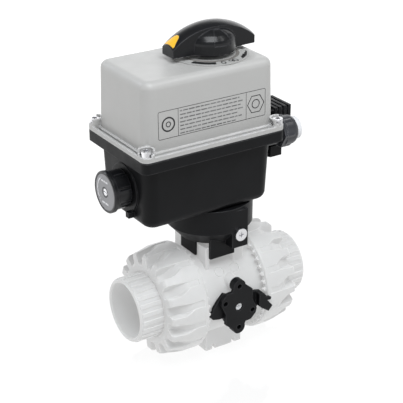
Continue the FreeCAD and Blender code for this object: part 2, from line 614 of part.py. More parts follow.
def mounting_bracket():
    """The moulded adapter between the valve's stop posts and the drive's flange."""
    hood = turned("bracket_hood", "Z", [
        ("0", "adapter_top-adapter_deck"), ("adapter_r-adapter_wall", "adapter_top-adapter_deck"),
        ("adapter_r-adapter_wall", "adapter_skirt+1"), ("cone_r-3", "cone_low"),
        ("cone_r", "cone_low"), ("adapter_r", "adapter_skirt"), ("adapter_r", "adapter_top"),
        ("0", "adapter_top")])
    parts = [hood]
    holes = [rod("bracket_shaft_hole", "13", "adapter_top-adapter_deck-1", "adapter_top+1")]
    for sign in ("-1", "1"):
        x_pair = ("-leg_x", "-leg_x+2") if sign == "-1" else ("leg_x-2", "leg_x")
        parts.append(block("bracket_leg", *x_pair, "-leg_half", "leg_half", "leg_bottom",
                           "cone_low+5"))
        y_pair = ("-apron_y", "-apron_in") if sign == "-1" else ("apron_in", "apron_y")
        long_end, short_end = "apron_long", "apron_short"
        apron_x = ("-" + long_end, short_end) if sign == "-1" else ("-" + short_end, long_end)
        parts.append(block("bracket_apron", *apron_x, *y_pair, "apron_bottom", "cone_low+6"))
        flip = "-1" if sign == "1" else "1"
        low_x = "lug_low_x" if sign == "-1" else "-lug_high_x"
        high_x = "lug_high_x" if sign == "-1" else "-lug_low_x"
        y_pair = ("-adapter_r", "-apron_in") if sign == "-1" else ("apron_in", "adapter_r")
        parts.append(block("bracket_lug", low_x, high_x, *y_pair, "lug_bottom", "lug_top"))
        y_pair = ("-adapter_r-1", "-apron_in+1") if sign == "-1" else ("apron_in-1",
                                                                       "adapter_r+1")
        holes.append(rod("lug_hole", "2.6", *y_pair, "Y", x="%s*lug_screw_x" % flip,
                         z="lug_screw_z"))
    solid = fuse("bracket_solid", *parts)
    for side in ("-1", "1"):
        x_pair = ("-post_out-0.3", "-0.7") if side == "-1" else ("0.7", "post_out+0.3")
        for end in ("-1", "1"):
            y_pair = ("-post_high_y-0.2", "-post_low_y+0.3") if end == "-1" else (
                "post_low_y-0.3", "post_high_y+0.2")
            wide = side != end
            if not wide:
                x_pair_used = ("-post_out-0.3", "-post_in+0.3") if side == "-1" else (
                    "post_in-0.3", "post_out+0.3")
                holes.append(block("post_pocket", *x_pair_used, *y_pair, "leg_bottom-1",
                                   "post_top+0.5"))
            else:
                holes.append(block("tower_pocket", *x_pair, *y_pair, "leg_bottom-1",
                                   "tower_top+0.5"))
        for turn in (45, 135):
            angle = "%d+(%s)*90" % (turn, side)
            holes.append(rod("flange_hole", "flange_screw_r+0.2", "adapter_top-adapter_deck-1",
                             "adapter_top+1", x="flange_pcd/2*cos(%s)" % angle,
                             y="flange_pcd/2*sin(%s)" % angle))
    return keep(cut("mounting_bracket", solid, *holes))


def bracket_screws():
    screws = []
    for sign in (-1, 1):
        x = "%d*lug_screw_x" % -sign
        spans = (("5.7", "adapter_r", "adapter_r+2.2"), ("2.08", "13", "adapter_r+1"))
        solids = []
        for radius, low, high in spans:
            pair = ("-(%s)" % high, "-(%s)" % low) if sign < 0 else (low, high)
            solids.append(rod("bracket_screw_part", radius, *pair, "Y", x=x, z="lug_screw_z"))
        recess = []
        for wide, tall in (("2.4", "0.5"), ("0.5", "2.4")):
            pair = ("-adapter_r-2.5", "-adapter_r-0.8") if sign < 0 else ("adapter_r+0.8",
                                                                        "adapter_r+2.5")
            recess.append(block("bracket_screw_cross", "%s-%s" % (x, wide), "%s+%s" % (x, wide),
                                *pair, "lug_screw_z-%s" % tall, "lug_screw_z+%s" % tall))
        screws.append(cut("bracket_screw", fuse("bracket_screw_solid", *solids), *recess))
    return keep(group("bracket_screws", *screws))


def flange_screws():
    """Four cap screws that hold the bracket's deck against the housing's floor."""
    screws = []
    for turn in (45, 135, 225, 315):
        x = "flange_pcd/2*cos(%d)" % turn
        y = "flange_pcd/2*sin(%d)" % turn
        head = rod("flange_screw_head", "4.2", "adapter_top-adapter_deck-5",
                   "adapter_top-adapter_deck", x=x, y=y)
        shank = rod("flange_screw_shank", "flange_screw_r", "adapter_top-adapter_deck-1",
                    "adapter_top+5", x=x, y=y)
        socket = hexagon("flange_screw_socket", "2.3", "adapter_top-adapter_deck-6",
                         "adapter_top-adapter_deck-2.5", x=x, y=y)
        screws.append(cut("flange_screw", fuse("flange_screw_solid", head, shank), socket))
    return keep(group("flange_screws", *screws))


def stem_coupling():
    """The sleeve that carries the output shaft's square to the stem's square."""
    sleeve = rod("coupling_sleeve", "11.5", "103.5", "134.5")
    lower = block("coupling_lower_square", "-6.05", "6.05", "-6.05", "6.05", "103",
                  "stem_top+0.5")
    upper = block("coupling_upper_square", "-5.55", "5.55", "-5.55", "5.55",
                  "stem_top+2", "135")
    return keep(cut("stem_coupling", sleeve, lower, upper))


# ---------------------------------------------------------------- housing and cover

CORNERS = [(-1, -1), (-1, 1), (1, -1), (1, 1)]


def corner_place(side_x, side_y):
    """The centre of one cover screw, as expressions."""
    x = "(rim_x_low+screw_inset)" if side_x < 0 else "(rim_x_high-screw_inset)"
    y = "(rim_y_low+screw_inset)" if side_y < 0 else "(rim_y_high-screw_inset)"
    return x, y


def corner_places():
    return [corner_place(*sides) for sides in CORNERS]


def lower_housing():
    """The black lower shell with its rim, selector boss and cable bosses."""
    shell = tapered_box("housing_shell", BOX, "split_z", "housing_bottom", "housing_draft",
                        "11", "7.5")
    rim = rounded_plate("housing_rim", RIM, "split_z-rim_depth", "split_z", "rim_corner_r")
    boss = rod("selector_boss", "boss_ring_r", "box_x_low-0.2", "box_x_low+8", "X", y="knob_y",
               z="knob_z")
    stop = extruded("selector_stop", "X", [
        ("knob_y-14", "knob_z-22"), ("knob_y-9", "knob_z-22"), ("knob_y-9", "knob_z-17"),
        ("knob_y-14", "knob_z-17")], "box_x_low-4", "box_x_low+4")
    gland_boss = rod("gland_boss", "gland_boss_r", "36", "gland_hex_start-0.05", "X",
                     y="gland_y", z="gland_z")
    plug_boss = block("plug_boss", "36", "plug_base_x-2", "plug_y_low+1", "plug_y_high-1",
                      "plug_bottom+1", "split_z")
    solid = fuse("housing_solid", shell, rim, boss, stop, gland_boss, plug_boss)
    cavity = tapered_box("housing_cavity", inset_box(BOX, "housing_wall"), "split_z+1",
                         "housing_bottom+housing_floor", "housing_draft", "8", "4")
    hollows = [
        cavity,
        rod("housing_shaft_hole", "12", "housing_bottom-1", "housing_bottom+housing_floor+1"),
        rod("selector_hole", "spindle_r+1.5", "box_x_low-3", "box_x_low+9", "X", y="knob_y",
            z="knob_z"),
        rod("gland_hole", "gland_thread_r+0.05", "30", "gland_hex_start+1", "X", y="gland_y",
            z="gland_z"),
        block("plug_passage", "30", "plug_base_x", "plug_y_low+7", "plug_y_high-7",
              "plug_bottom+8", "split_z-12"),
    ]
    for x, y in corner_places():
        hollows.append(rod("housing_screw_hole", "2.1", "split_z-rim_depth-1", "split_z+1",
                           x=x, y=y))
    for turn in (45, 135, 225, 315):
        hollows.append(rod("housing_flange_hole", "flange_screw_r", "housing_bottom-1",
                           "housing_bottom+housing_floor+2",
                           x="flange_pcd/2*cos(%d)" % turn, y="flange_pcd/2*sin(%d)" % turn))
    return keep(cut("lower_housing", solid, *hollows))


def upper_cover():
    """The grey cover: a tall drafted box on a channelled rim with raised screw corners."""
    base = "(split_z+gasket)"
    shell = tapered_box("cover_shell", BOX, base, "cover_top", "cover_draft",
                        "cover_corner_r", "cover_edge_r")
    rim = rounded_plate("cover_rim_plate", RIM, base, "split_z+cover_rim", "rim_corner_r")
    floor = "split_z+cover_rim-gutter_depth"
    gutter_outer = rounded_plate("gutter_outer", inset_box(RIM, "rim_lip"), floor,
                                 "split_z+cover_rim+1", "rim_corner_r-rim_lip")
    gutter_inner = rounded_plate("gutter_inner", inset_box(BOX, "-cover_ledge"), floor,
                                 "split_z+cover_rim+2", "cover_corner_r+cover_ledge")
    gutter = cut("gutter", gutter_outer, gutter_inner)
    parts = [shell, cut("guttered_rim", rim, gutter)]
    holes = []
    for side_x, side_y in CORNERS:
        x, y = corner_place(side_x, side_y)
        parts.append(rod("cover_boss", "corner_boss_r", base, "corner_boss_top", x=x, y=y))
        parts.append(boss_wall(side_x, side_y))
        holes.append(rod("cover_screw_hole", "2.7", "split_z", "corner_boss_top+1", x=x, y=y))
        holes.append(rod("cover_head_pocket", "head_pocket_r", "screw_seat",
                         "boss_wall_top+1", x=x, y=y))
        inner_end = "%s-(%d)*(corner_boss_r+1)" % (x, side_x)
        ends = (inner_end, x) if side_x > 0 else (x, inner_end)
        holes.append(rod("cover_drain", "drain_r", *ends, "X", y=y, z="drain_z"))
    outline = rounded_plate("cover_limit", RIM, "split_z", "cover_top+1", "rim_corner_r")
    solid = common("cover_trimmed", fuse("cover_solid", *parts), outline)
    cavity = tapered_box("cover_cavity", inset_box(BOX, "cover_wall"), "split_z",
                         "cover_top-cover_wall", "cover_draft", "6", "4")
    shaft_hole = rod("cover_hole", "shaft_hole_r", "cover_top-6", "cover_top+1")
    return keep(cut("upper_cover", solid, cavity, shaft_hole, *holes))


def boss_wall(side_x, side_y):
    """The curved wall on the inner side of one screw boss, open towards the corner."""
    x, y = corner_place(side_x, side_y)
    ring = rod("boss_ring", "corner_boss_r", "corner_boss_top-1", "boss_wall_top", x=x, y=y)
    opening = labelled("Part::Box", "boss_opening")
    bind(opening, Length="2*corner_boss_r", Width="4*corner_boss_r",
         Height="boss_wall_top-corner_boss_top+1")
    outward = math.degrees(math.atan2(side_y, side_x))
    move(opening, "%s+2*corner_boss_r*sin(%s)" % (x, outward),
         "%s-2*corner_boss_r*cos(%s)" % (y, outward), "corner_boss_top",
         FreeCAD.Rotation(FreeCAD.Vector(0, 0, 1), outward))
    return cut("boss_wall", ring, opening)


def cover_gasket():
    plate = rounded_plate("gasket_plate", RIM, "split_z+0.02", "split_z+gasket-0.02",
                          "rim_corner_r")
    inner = tuple("%s%s(housing_wall+0.5)" % (name, sign) for name, sign in zip(BOX, "+-+-"))
    hole = rounded_plate("gasket_hole", inner, "split_z-1", "split_z+2", "8")
    screws = [rod("gasket_screw_hole", "2.8", "split_z-1", "split_z+2", x=x, y=y)
              for x, y in corner_places()]
    return keep(cut("cover_gasket", plate, hole, *screws))


def cover_screws():
    screws = []
    for x, y in corner_places():
        head = rod("cover_screw_head", "head_r", "screw_seat", "screw_seat+head_height",
                   x=x, y=y)
        shank = rod("cover_screw_shank", "2.08", "split_z-rim_depth+1", "screw_seat+1",
                    x=x, y=y)
        socket = hexagon("cover_screw_socket", "2.3", "screw_seat+head_height-2.6",
                         "screw_seat+head_height+1", x=x, y=y)
        screws.append(cut("cover_screw", fuse("cover_screw_solid", head, shank), socket))
    return keep(group("cover_screws", *screws))


# ---------------------------------------------------------------- handle

def arch_barrel(label, shrink):
    """A barrel round the arch's own axis: crest radius in the middle, less at the sides."""
    half = number("grip_half")
    crest = number("arch_r") - shrink
    side = crest - number("crown_drop")
    middle = FreeCAD.Vector(0, 0, crest)
    ends = [FreeCAD.Vector(0, sign * half, side) for sign in (-1, 1)]
    arc = Part.Arc(ends[0], middle, ends[1]).toShape()
    floor = [FreeCAD.Vector(0, sign * half, 0) for sign in (1, -1)]
    wire = Part.Wire([arc, Part.makeLine(ends[1], floor[0]), Part.makeLine(floor[0], floor[1]),
                      Part.makeLine(floor[1], ends[0])])
    item = labelled("Part::Feature", label)
    item.Shape = Part.Face(wire).revolve(FreeCAD.Vector(), FreeCAD.Vector(0, 1, 0), 360)
    item.Placement = FreeCAD.Placement(
        FreeCAD.Vector(0, 0, number("crest_z") - number("arch_r")), FreeCAD.Rotation())
    return item


def hub_facet(side):
    """The shallow wedge-shaped recess that is cut into one side of the hub's dome."""
    wedge = extruded("facet_wedge", "Z", [
        ("-2.6", "%d*(grip_half+0.6)" % side), ("2.6", "%d*(grip_half+0.6)" % side),
        ("9.6", "%d*(hub_r+1)" % side), ("-9.6", "%d*(hub_r+1)" % side)],
        "hub_skirt", "hub_skirt+dome_rise+1")
    core = [("(hub_r-facet_depth)*cos(%d)" % turn,
             "hub_skirt+(dome_rise-facet_depth)*sin(%d)" % turn) for turn in range(0, 90, 9)]
    inner = turned("facet_core", "Z", [("0", "hub_skirt-1"), ("hub_r-facet_depth", "hub_skirt-1")]
                   + core + [("0", "hub_skirt+dome_rise-facet_depth")])
    return cut("hub_facet", wedge, inner)


def manual_handle():
    """The arched grip on its domed hub, with a let-in pointer at the indicating end."""
    plan = extruded("grip_plan", "Z", [
        ("-handle_half", "-grip_end_half"), ("0", "-grip_half"),
        ("handle_half", "-grip_end_half"), ("handle_half", "grip_end_half"),
        ("0", "grip_half"), ("-handle_half", "grip_end_half")], "handle_bottom", "crest_z+1")
    grip = common("grip", plan, arch_barrel("grip_arch", 0.0))
    dome = [("hub_r*cos(%d)" % turn, "hub_skirt+dome_rise*sin(%d)" % turn)
            for turn in range(0, 90, 9)]
    hub = turned("hub", "Z", [("0", "handle_bottom"), ("hub_r", "handle_bottom")] + dome + [
        ("0", "hub_skirt+dome_rise")])
    facets = [hub_facet(side) for side in (-1, 1)]
    socket = rod("handle_socket", "shaft_r+0.03", "handle_bottom-1", "shaft_high+0.3")
    flat = block("handle_flat", "shaft_r-2+0.03", "shaft_r+1", "-shaft_r", "shaft_r",
                 "handle_bottom-2", "shaft_high+1")
    socket = cut("handle_socket_flat", socket, flat)
    inlay = extruded("pointer_outline", "Z", [
        ("-handle_half+1", "-6.4"), ("-handle_half+2.2", "-6.7"), ("-31.2", "-3"),
        ("-30.2", "-1.4"), ("-30.2", "1.4"), ("-31.2", "3"), ("-handle_half+2.2", "6.7"),
        ("-handle_half+1", "6.4")], "handle_bottom+2", "crest_z+1")
    core = arch_barrel("pointer_core", number("inlay"))
    shell = cut("pointer_shell", inlay, core)
    keep(cut("manual_handle", fuse("handle_solid", grip, hub), socket, shell, *facets))
    keep(common("handle_pointer", grip, shell))


def dial_plate():
    disc = rod("dial_disc", "dial_r", "cover_top+0.02", "cover_top+dial_height")
    hole = rod("dial_hole", "shaft_hole_r", "cover_top-1", "cover_top+2")
    return keep(cut("dial_plate", disc, hole))


def shaft_seal():
    """The lip seal between the output shaft and the cover."""
    ring = rod("seal_ring", "shaft_hole_r-0.02", "cover_top-5", "cover_top+0.6")
    hole = rod("seal_hole", "shaft_r+0.06", "cover_top-6", "cover_top+1")
    return keep(cut("shaft_seal", ring, hole))


# ---------------------------------------------------------------- shaft, gears and motor

def output_shaft():
    shank = rod("shaft_shank", "shaft_r", "137", "shaft_high")
    square = block("shaft_square", "-5.5", "5.5", "-5.5", "5.5", "stem_top+2.5", "138")
    flat = block("shaft_flat", "shaft_r-2", "shaft_r+1", "-shaft_r", "shaft_r",
                 "handle_bottom-2", "shaft_high+1")
    return keep(cut("output_shaft", fuse("shaft_solid", shank, square), flat))


def gear_outline(teeth, module):
    """The corners of one spur gear's outline, with involute flanks and some backlash."""
    pitch_r = teeth * module / 2
    base_r = pitch_r * math.cos(math.radians(20))
    tip_r = pitch_r + module
    root_r = pitch_r - 1.25 * module
    start_r = max(base_r, root_r + 0.05 * module)

    def involute(radius):
        roll = math.sqrt(max(0.0, (radius / base_r) ** 2 - 1))
        return roll - math.atan(roll)

    half_tooth = math.pi / (2 * teeth) - number("play") / (2 * pitch_r)
    corners = []
    steps = 4
    for tooth in range(teeth):
        middle = 2 * math.pi * tooth / teeth
        flank = []
        for step in range(steps + 1):
            radius = start_r + (tip_r - start_r) * step / steps
            turn = half_tooth + involute(pitch_r) - involute(radius)
            flank.append((radius, turn))
        flank.insert(0, (root_r, flank[0][1]))
        for side, sequence in ((-1, flank), (1, flank[::-1])):
            for radius, turn in sequence:
                angle = middle + side * turn
                corners.append(FreeCAD.Vector(radius * math.cos(angle),
                                              radius * math.sin(angle), 0))
    return corners


def gear_solid(label, teeth, module, low, width, x, y, phase):
    """A spur gear blank. Its Placement turns it by phase, in degrees, about its own axis."""
    corners = gear_outline(teeth, module)
    wire = Part.makePolygon(corners + corners[:1])
    item = labelled("Part::Feature", label)
    item.Shape = Part.Face(wire).extrude(FreeCAD.Vector(0, 0, width))
    item.Placement = FreeCAD.Placement(FreeCAD.Vector(x, y, low),
                                       FreeCAD.Rotation(FreeCAD.Vector(0, 0, 1), phase))
    return item


def mesh_phase(teeth, direction, other_teeth, other_phase):
    """The phase that puts a gap of this gear on the other gear's tooth.

    direction is the angle from this gear to the other, in degrees.
    """
    facing = direction + 180 - other_phase
    offset = facing / (360.0 / other_teeth)
    part_pitch = offset - math.floor(offset)
    return direction + (part_pitch + 0.5) * 360.0 / teeth


def gear_train():
    """Output gear, two compound gears on fixed pins, and the motor's pinion."""
    teeth_out = int(number("teeth_out"))
    teeth_two = int(number("teeth_two"))
    teeth_one = int(number("teeth_one"))
    small = int(number("teeth_small"))
    module_out, module_two, module_one = (number("module_out"), number("module_two"),
                                          number("module_one"))
    out_z, two_z, one_z = number("gear_out_z"), number("gear_two_z"), number("gear_one_z")
    out_width, two_width, one_width = (number("gear_out_width"), number("gear_two_width"),
                                       number("gear_one_width"))
    # output gear
    wheel = gear_solid("output_gear_teeth", teeth_out, module_out, out_z, out_width, 0, 0, 0)
    hub = rod("output_gear_hub", "14", "gear_out_z", "gear_out_z+gear_out_width+3")
    bore = rod("output_gear_bore", "shaft_r+0.01", "gear_out_z-1", "gear_out_z+20")
    windows = [rod("output_gear_window", "5", "gear_out_z-1", "gear_out_z+20",
                   x="22*cos(%d)" % turn, y="22*sin(%d)" % turn)
               for turn in (0, 60, 120, 240, 300)]
    keep(cut("output_gear", fuse("output_gear_solid", wheel, hub), bore, *windows))
    # second stage
    second_x = -(teeth_out + small) * module_out / 2
    pinion_phase = mesh_phase(small, 0, teeth_out, 0)
    pinion = gear_solid("second_pinion", small, module_out, out_z + 0.5,
                        two_z - out_z - 0.4, second_x, 0, pinion_phase)
    wheel = gear_solid("second_wheel", teeth_two, module_two, two_z, two_width, second_x, 0, 0)
    bore = rod("second_bore", "pin_r+0.04", "gear_out_z-2", "gear_two_z+20",
               x="-(teeth_out+teeth_small)*module_out/2")
    keep(cut("second_stage_gear", fuse("second_gear_solid", pinion, wheel), bore))
    # first stage
    turn = number("stage_turn_two")
    reach = (teeth_two + small) * module_two / 2
    first_x = second_x + reach * math.cos(math.radians(turn))
    first_y = reach * math.sin(math.radians(turn))
    pinion_phase = mesh_phase(small, turn + 180, teeth_two, 0)
    pinion = gear_solid("first_pinion", small, module_two, two_z + 0.4,
                        one_z - two_z - 0.2, first_x, first_y, pinion_phase)
    wheel = gear_solid("first_wheel", teeth_one, module_one, one_z, one_width, first_x, first_y, 0)
    first = {
        "x": "(-(teeth_out+teeth_small)*module_out/2"
             "+(teeth_two+teeth_small)*module_two/2*cos(stage_turn_two))",
        "y": "((teeth_two+teeth_small)*module_two/2*sin(stage_turn_two))",
    }
    bore = rod("first_bore", "pin_r+0.04", "gear_two_z-2", "gear_one_z+20", **first)
    keep(cut("first_stage_gear", fuse("first_gear_solid", pinion, wheel), bore))
    # motor pinion on the motor's own shaft
    turn = number("stage_turn_motor")
    reach = (teeth_one + small) * module_one / 2
    motor_x = first_x + reach * math.cos(math.radians(turn))
    motor_y = first_y + reach * math.sin(math.radians(turn))
    pinion_phase = mesh_phase(small, turn + 180, teeth_one, 0)
    pinion = gear_solid("motor_pinion_teeth", small, module_one, one_z + 0.4, one_width - 0.4,
                        motor_x, motor_y, pinion_phase)
    motor = {
        "x": "(%s+(teeth_one+teeth_small)*module_one/2*cos(stage_turn_motor))" % first["x"],
        "y": "(%s+(teeth_one+teeth_small)*module_one/2*sin(stage_turn_motor))" % first["y"],
    }
    spindle = rod("motor_spindle", "1.5", "gear_one_z-0.5", "plate_z+plate_thick+6", **motor)
    keep(fuse("motor_pinion", pinion, spindle))
    return first, motor


def gear_frame(first, motor):
    """The plate over the gears, its pillars, the gears' pins, the motor and the bushes."""
    plate = rounded_plate("gear_plate_blank", ("-76", "32", "-31", "33"), "plate_z",
                          "plate_z+plate_thick", "6")
    second_x = "-(teeth_out+teeth_small)*module_out/2"
    pillars = [("-70.5", "-24"), ("-34", "29"), ("27", "-25"), ("27", "26")]
    holes = [
        rod("plate_bush_hole", "11.02", "plate_z-1", "plate_z+5"),
        rod("plate_motor_hole", "4.5", "plate_z-1", "plate_z+5", **motor),
        rod("plate_pin_hole", "pin_r", "plate_z-1", "plate_z+5", x=second_x),
        rod("plate_pin_hole", "pin_r", "plate_z-1", "plate_z+5", **first),
    ]
    stands = []
    for x, y in pillars:
        holes.append(rod("plate_pillar_hole", "2.1", "plate_z-1", "plate_z+5", x=x, y=y))
        stand = rod("pillar_column", "3.2", "housing_bottom+housing_floor", "plate_z", x=x, y=y)
        tip = rod("pillar_tip", "2.05", "plate_z-1", "plate_z+plate_thick+1.5", x=x, y=y)
        stands.append(fuse("pillar", stand, tip))
    keep(cut("gear_plate", plate, *holes))
    keep(group("gear_plate_pillars", *stands))
    pins = []
    for place, top in (({"x": second_x}, "gear_out_z+0.35"), (first, "gear_two_z+0.25")):
        pin = rod("gear_pin", "pin_r", "housing_bottom+housing_floor", "plate_z+plate_thick",
                  **place)
        shoulder = rod("pin_shoulder", "pin_r+1.5", "housing_bottom+housing_floor", top, **place)
        pins.append(fuse("stepped_pin", pin, shoulder))
    keep(group("gear_pins", *pins))
    can = rod("motor_can", "motor_r", "plate_z+plate_thick+2", "plate_z+plate_thick+motor_length",
              **motor)
    nose = rod("motor_nose", "4.4", "plate_z+0.1", "plate_z+plate_thick+3", **motor)
    foot = rod("motor_foot", "motor_r+1.5", "plate_z+plate_thick", "plate_z+plate_thick+4",
               **motor)
    cap = rod("motor_cap", "motor_r-4", "plate_z+plate_thick+motor_length-1",
              "plate_z+plate_thick+motor_length+3", **motor)
    bore = rod("motor_bore", "1.55", "plate_z-1", "plate_z+plate_thick+6.2", **motor)
    keep(cut("drive_motor", fuse("motor_solid", can, nose, foot, cap), bore))
    sleeve = rod("lower_bush_sleeve", "11.9", "housing_bottom", "gear_out_z-0.3")
    bore = rod("lower_bush_bore", "shaft_r+0.05", "housing_bottom-2", "gear_out_z+1")
    keep(cut("lower_shaft_bush", sleeve, bore))
    sleeve = rod("upper_bush_sleeve", "11", "plate_z", "plate_z+plate_thick+1")
    flange = rod("upper_bush_flange", "13", "plate_z+plate_thick", "plate_z+plate_thick+1.5")
    bore = rod("upper_bush_bore", "shaft_r+0.05", "plate_z-2", "plate_z+9")
    keep(cut("upper_shaft_bush", fuse("upper_bush_solid", sleeve, flange), bore))


# ---------------------------------------------------------------- switching and wiring

def switching():
    """Two cams on the shaft, the limit switches beside them and their holder."""
    cams = []
    for place in range(2):
        low = "cam_low_z+%d*cam_pitch" % place
        disc = rod("cam_disc", "cam_r-3", low, "%s+cam_width" % low)
        lobe = rod("cam_lobe", "cam_r", low, "%s+cam_width" % low)
        sector = extruded("cam_sector_%d" % place, "Z",
                          [("0", "0"), ("-18", "16"), ("-24", "16"), ("-24", "-16"),
                           ("-18", "-16")], "0", "cam_width+2")
        turn = FreeCAD.Rotation(FreeCAD.Vector(0, 0, 1), (150, 30)[place])
        move(sector, z="%s-1" % low, turn=turn)
        cam = fuse("cam_solid", disc, common("cam_nose", lobe, sector))
        bore = rod("cam_bore", "shaft_r+0.01", "%s-1" % low, "%s+cam_width+1" % low)
        cams.append(cut("cam", cam, bore))
    keep(group("switch_cams", *cams))
    switches = []
    for place in range(2):
        low = "cam_low_z+%d*cam_pitch-1" % place
        case = block("switch_case", "-10", "10", "19", "29", low, "%s+8" % low)
        plunger = rod("switch_plunger", "1.2", "15.7", "20", "Y", x="-3", z="%s+4" % low)
        tabs = [block("switch_tab", "%d-0.4" % x, "%d+0.4" % x, "29", "33", "%s+2.5" % low,
                      "%s+5.5" % low) for x in (-7, 0, 7)]
        switches.append(fuse("limit_switch", case, plunger, *tabs))
    keep(group("limit_switches", *switches))
    foot = block("holder_foot", "-16", "16", "18.5", "31", "plate_z+plate_thick",
                 "cam_low_z-1.2")
    wall = block("holder_wall", "11", "14", "19", "29.5", "cam_low_z-2", "cam_low_z+22")
    keep(fuse("switch_holder", foot, wall))


def electronics():
    """The control board with its terminals, relays and capacitor."""
    x_pair = ("20", "21.6")
    keep(block("circuit_board", *x_pair, "-33", "33", "plate_z+plate_thick+0.02", "250"))
    blocks = [block("terminal_body", "21.62", "32", "%d" % (-30 + 10 * place),
                    "%d" % (-30 + 10 * place + 9.0), "196", "206") for place in range(6)]
    keep(group("terminal_block", *blocks))
    keep(group("board_relays", *[
        block("relay", "21.62", "35", "%d" % low, "%d" % (low + 15), "222", "240")
        for low in (-28, -8)]))
    keep(rod("board_capacitor", "6", "21.62", "35", "X", y="20", z="229"))


# ---------------------------------------------------------------- selector

def selector():
    """The knob that picks automatic or manual working, with its spindle and switch."""
    body = turned("knob_blank", "X", [
        ("3.2", "knob_face+1.2"), ("disc_r", "knob_face+1.2"), ("disc_r", "knob_face"),
        ("knob_r-0.8", "knob_face"), ("knob_r", "knob_face+0.8"), ("knob_r", "knob_face+3.6"),
        ("knob_body_r", "knob_face+4.4"), ("knob_body_r", "knob_back"), ("3.2", "knob_back")])
    move(body, y="knob_y", z="knob_z")
    grooves = []
    for place in range(8):
        angle = "22.5+45*%d" % place
        grooves.append(rod("knob_groove", "1.5", "knob_face+6", "knob_back+1", "X",
                           y="knob_y+(knob_body_r+0.4)*cos(%s)" % angle,
                           z="knob_z+(knob_body_r+0.4)*sin(%s)" % angle))
    socket = rod("knob_socket", "spindle_r", "knob_back-9", "knob_back+1", "X", y="knob_y",
                 z="knob_z")
    keep(cut("selector_knob", body, socket, *grooves))
    disc = rod("disc_blank", "disc_r-0.05", "knob_face+0.2", "knob_face+1.2", "X", y="knob_y",
               z="knob_z")
    hole = rod("disc_hole", "3.6", "knob_face-1", "knob_face+3", "X", y="knob_y", z="knob_z")
    keep(cut("selector_disc", disc, hole))
    head = rod("selector_head", "3.1", "knob_face+0.4", "knob_face+1.5", "X", y="knob_y",
               z="knob_z")
    shank = rod("selector_shank", "2.0", "knob_face+1", "knob_back-1", "X", y="knob_y",
                z="knob_z")
    slot = block("selector_slot", "knob_face", "knob_face+1", "knob_y-4", "knob_y+4",
                 "knob_z-0.5", "knob_z+0.5")
    keep(cut("selector_screw", fuse("selector_screw_solid", head, shank), slot))
    shaft = rod("spindle_rod", "spindle_r", "knob_back-8.9", "-75.2", "X", y="knob_y",
                z="knob_z")
    bore = rod("spindle_bore", "2.02", "knob_back-9.5", "knob_back-0.5", "X", y="knob_y",
               z="knob_z")
    keep(cut("selector_shaft", shaft, bore))
    ring = rod("selector_seal_ring", "spindle_r+1.45", "box_x_low+0.5", "box_x_low+3.5", "X",
               y="knob_y", z="knob_z")
    hole = rod("selector_seal_hole", "spindle_r+0.05", "box_x_low-1", "box_x_low+5", "X",
               y="knob_y", z="knob_z")
    keep(cut("selector_seal", ring, hole))
    case = block("selector_switch_case", "-80.1", "-72.2", "knob_y-9", "knob_y+7", "knob_z-4.5",
                 "knob_z+7")
    bore = rod("selector_switch_bore", "spindle_r+0.05", "-81", "-75", "X", y="knob_y",
               z="knob_z")
    keep(cut("selector_switch", case, bore))


# ---------------------------------------------------------------- cable entries

def gland_hexagon(label, low, high):
    """A hexagon across the gland's axis with a flat on top."""
    item = hexagon(label, "gland_hex_r", low, high, "X", y="gland_y", z="gland_z")
    item.Placement.Rotation = AXIS_TURNS["X"].multiply(
        FreeCAD.Rotation(FreeCAD.Vector(0, 0, 1), 30))
    return item


def cable_gland():
    """The gland: a threaded body with a hexagon, a domed nut and a sealing insert."""
    at = {"y": "gland_y", "z": "gland_z"}
    thread = rod("gland_thread", "gland_thread_r", "34", "gland_hex_start+1", "X", **at)
    flats = gland_hexagon("gland_flats", "gland_hex_start", "gland_hex_end")
    neck = rod("gland_neck", "10", "gland_hex_end-0.5", "gland_nut_end-4", "X", **at)
    bore = rod("gland_body_bore", "6.5", "30", "gland_nut_end-2", "X", **at)
    keep(cut("gland_body", fuse("gland_body_solid", thread, flats, neck), bore))
    flats = gland_hexagon("gland_nut_flats", "gland_hex_end+0.3", "gland_nut_end")
    dome = turned("gland_dome", "X", [
        ("0", "gland_hex_end+1"), ("13", "gland_hex_end+1"), ("13", "gland_nut_end"),
        ("12.9", "gland_nut_end+1.6"), ("12.2", "gland_tip-1.6"), ("11.2", "gland_tip-0.4"),
        ("10.4", "gland_tip"), ("0", "gland_tip")])
    move(dome, **at)
    corners = turned("gland_corner_limit", "X", [
        ("0", "gland_hex_end"), ("13.6", "gland_hex_end"), ("14.1", "gland_hex_end+1"),
        ("14.1", "gland_nut_end-1.6"), ("12.9", "gland_nut_end+0.1"),
        ("0", "gland_nut_end+0.1")])
    move(corners, **at)
    nut = fuse("gland_nut_solid", common("gland_nut_grip", flats, corners), dome)
    hollow = rod("gland_nut_hollow", "10.05", "gland_hex_end-1", "gland_nut_end-3.8", "X", **at)
    mouth = rod("gland_nut_mouth", "8.3", "gland_hex_end", "gland_tip+1", "X", **at)
    keep(cut("gland_nut", nut, hollow, mouth))
    insert = rod("gland_seal_sleeve", "8.25", "gland_nut_end-3.9", "gland_tip+1", "X", **at)
    collar = rod("gland_seal_collar", "gland_sleeve_r", "gland_tip+0.02", "gland_sleeve_end",
                 "X", **at)
    bore = rod("gland_seal_bore", "gland_bore_r", "gland_nut_end-6", "gland_sleeve_end+1", "X",
               **at)
    keep(cut("gland_seal", fuse("gland_seal_solid", insert, collar), bore))


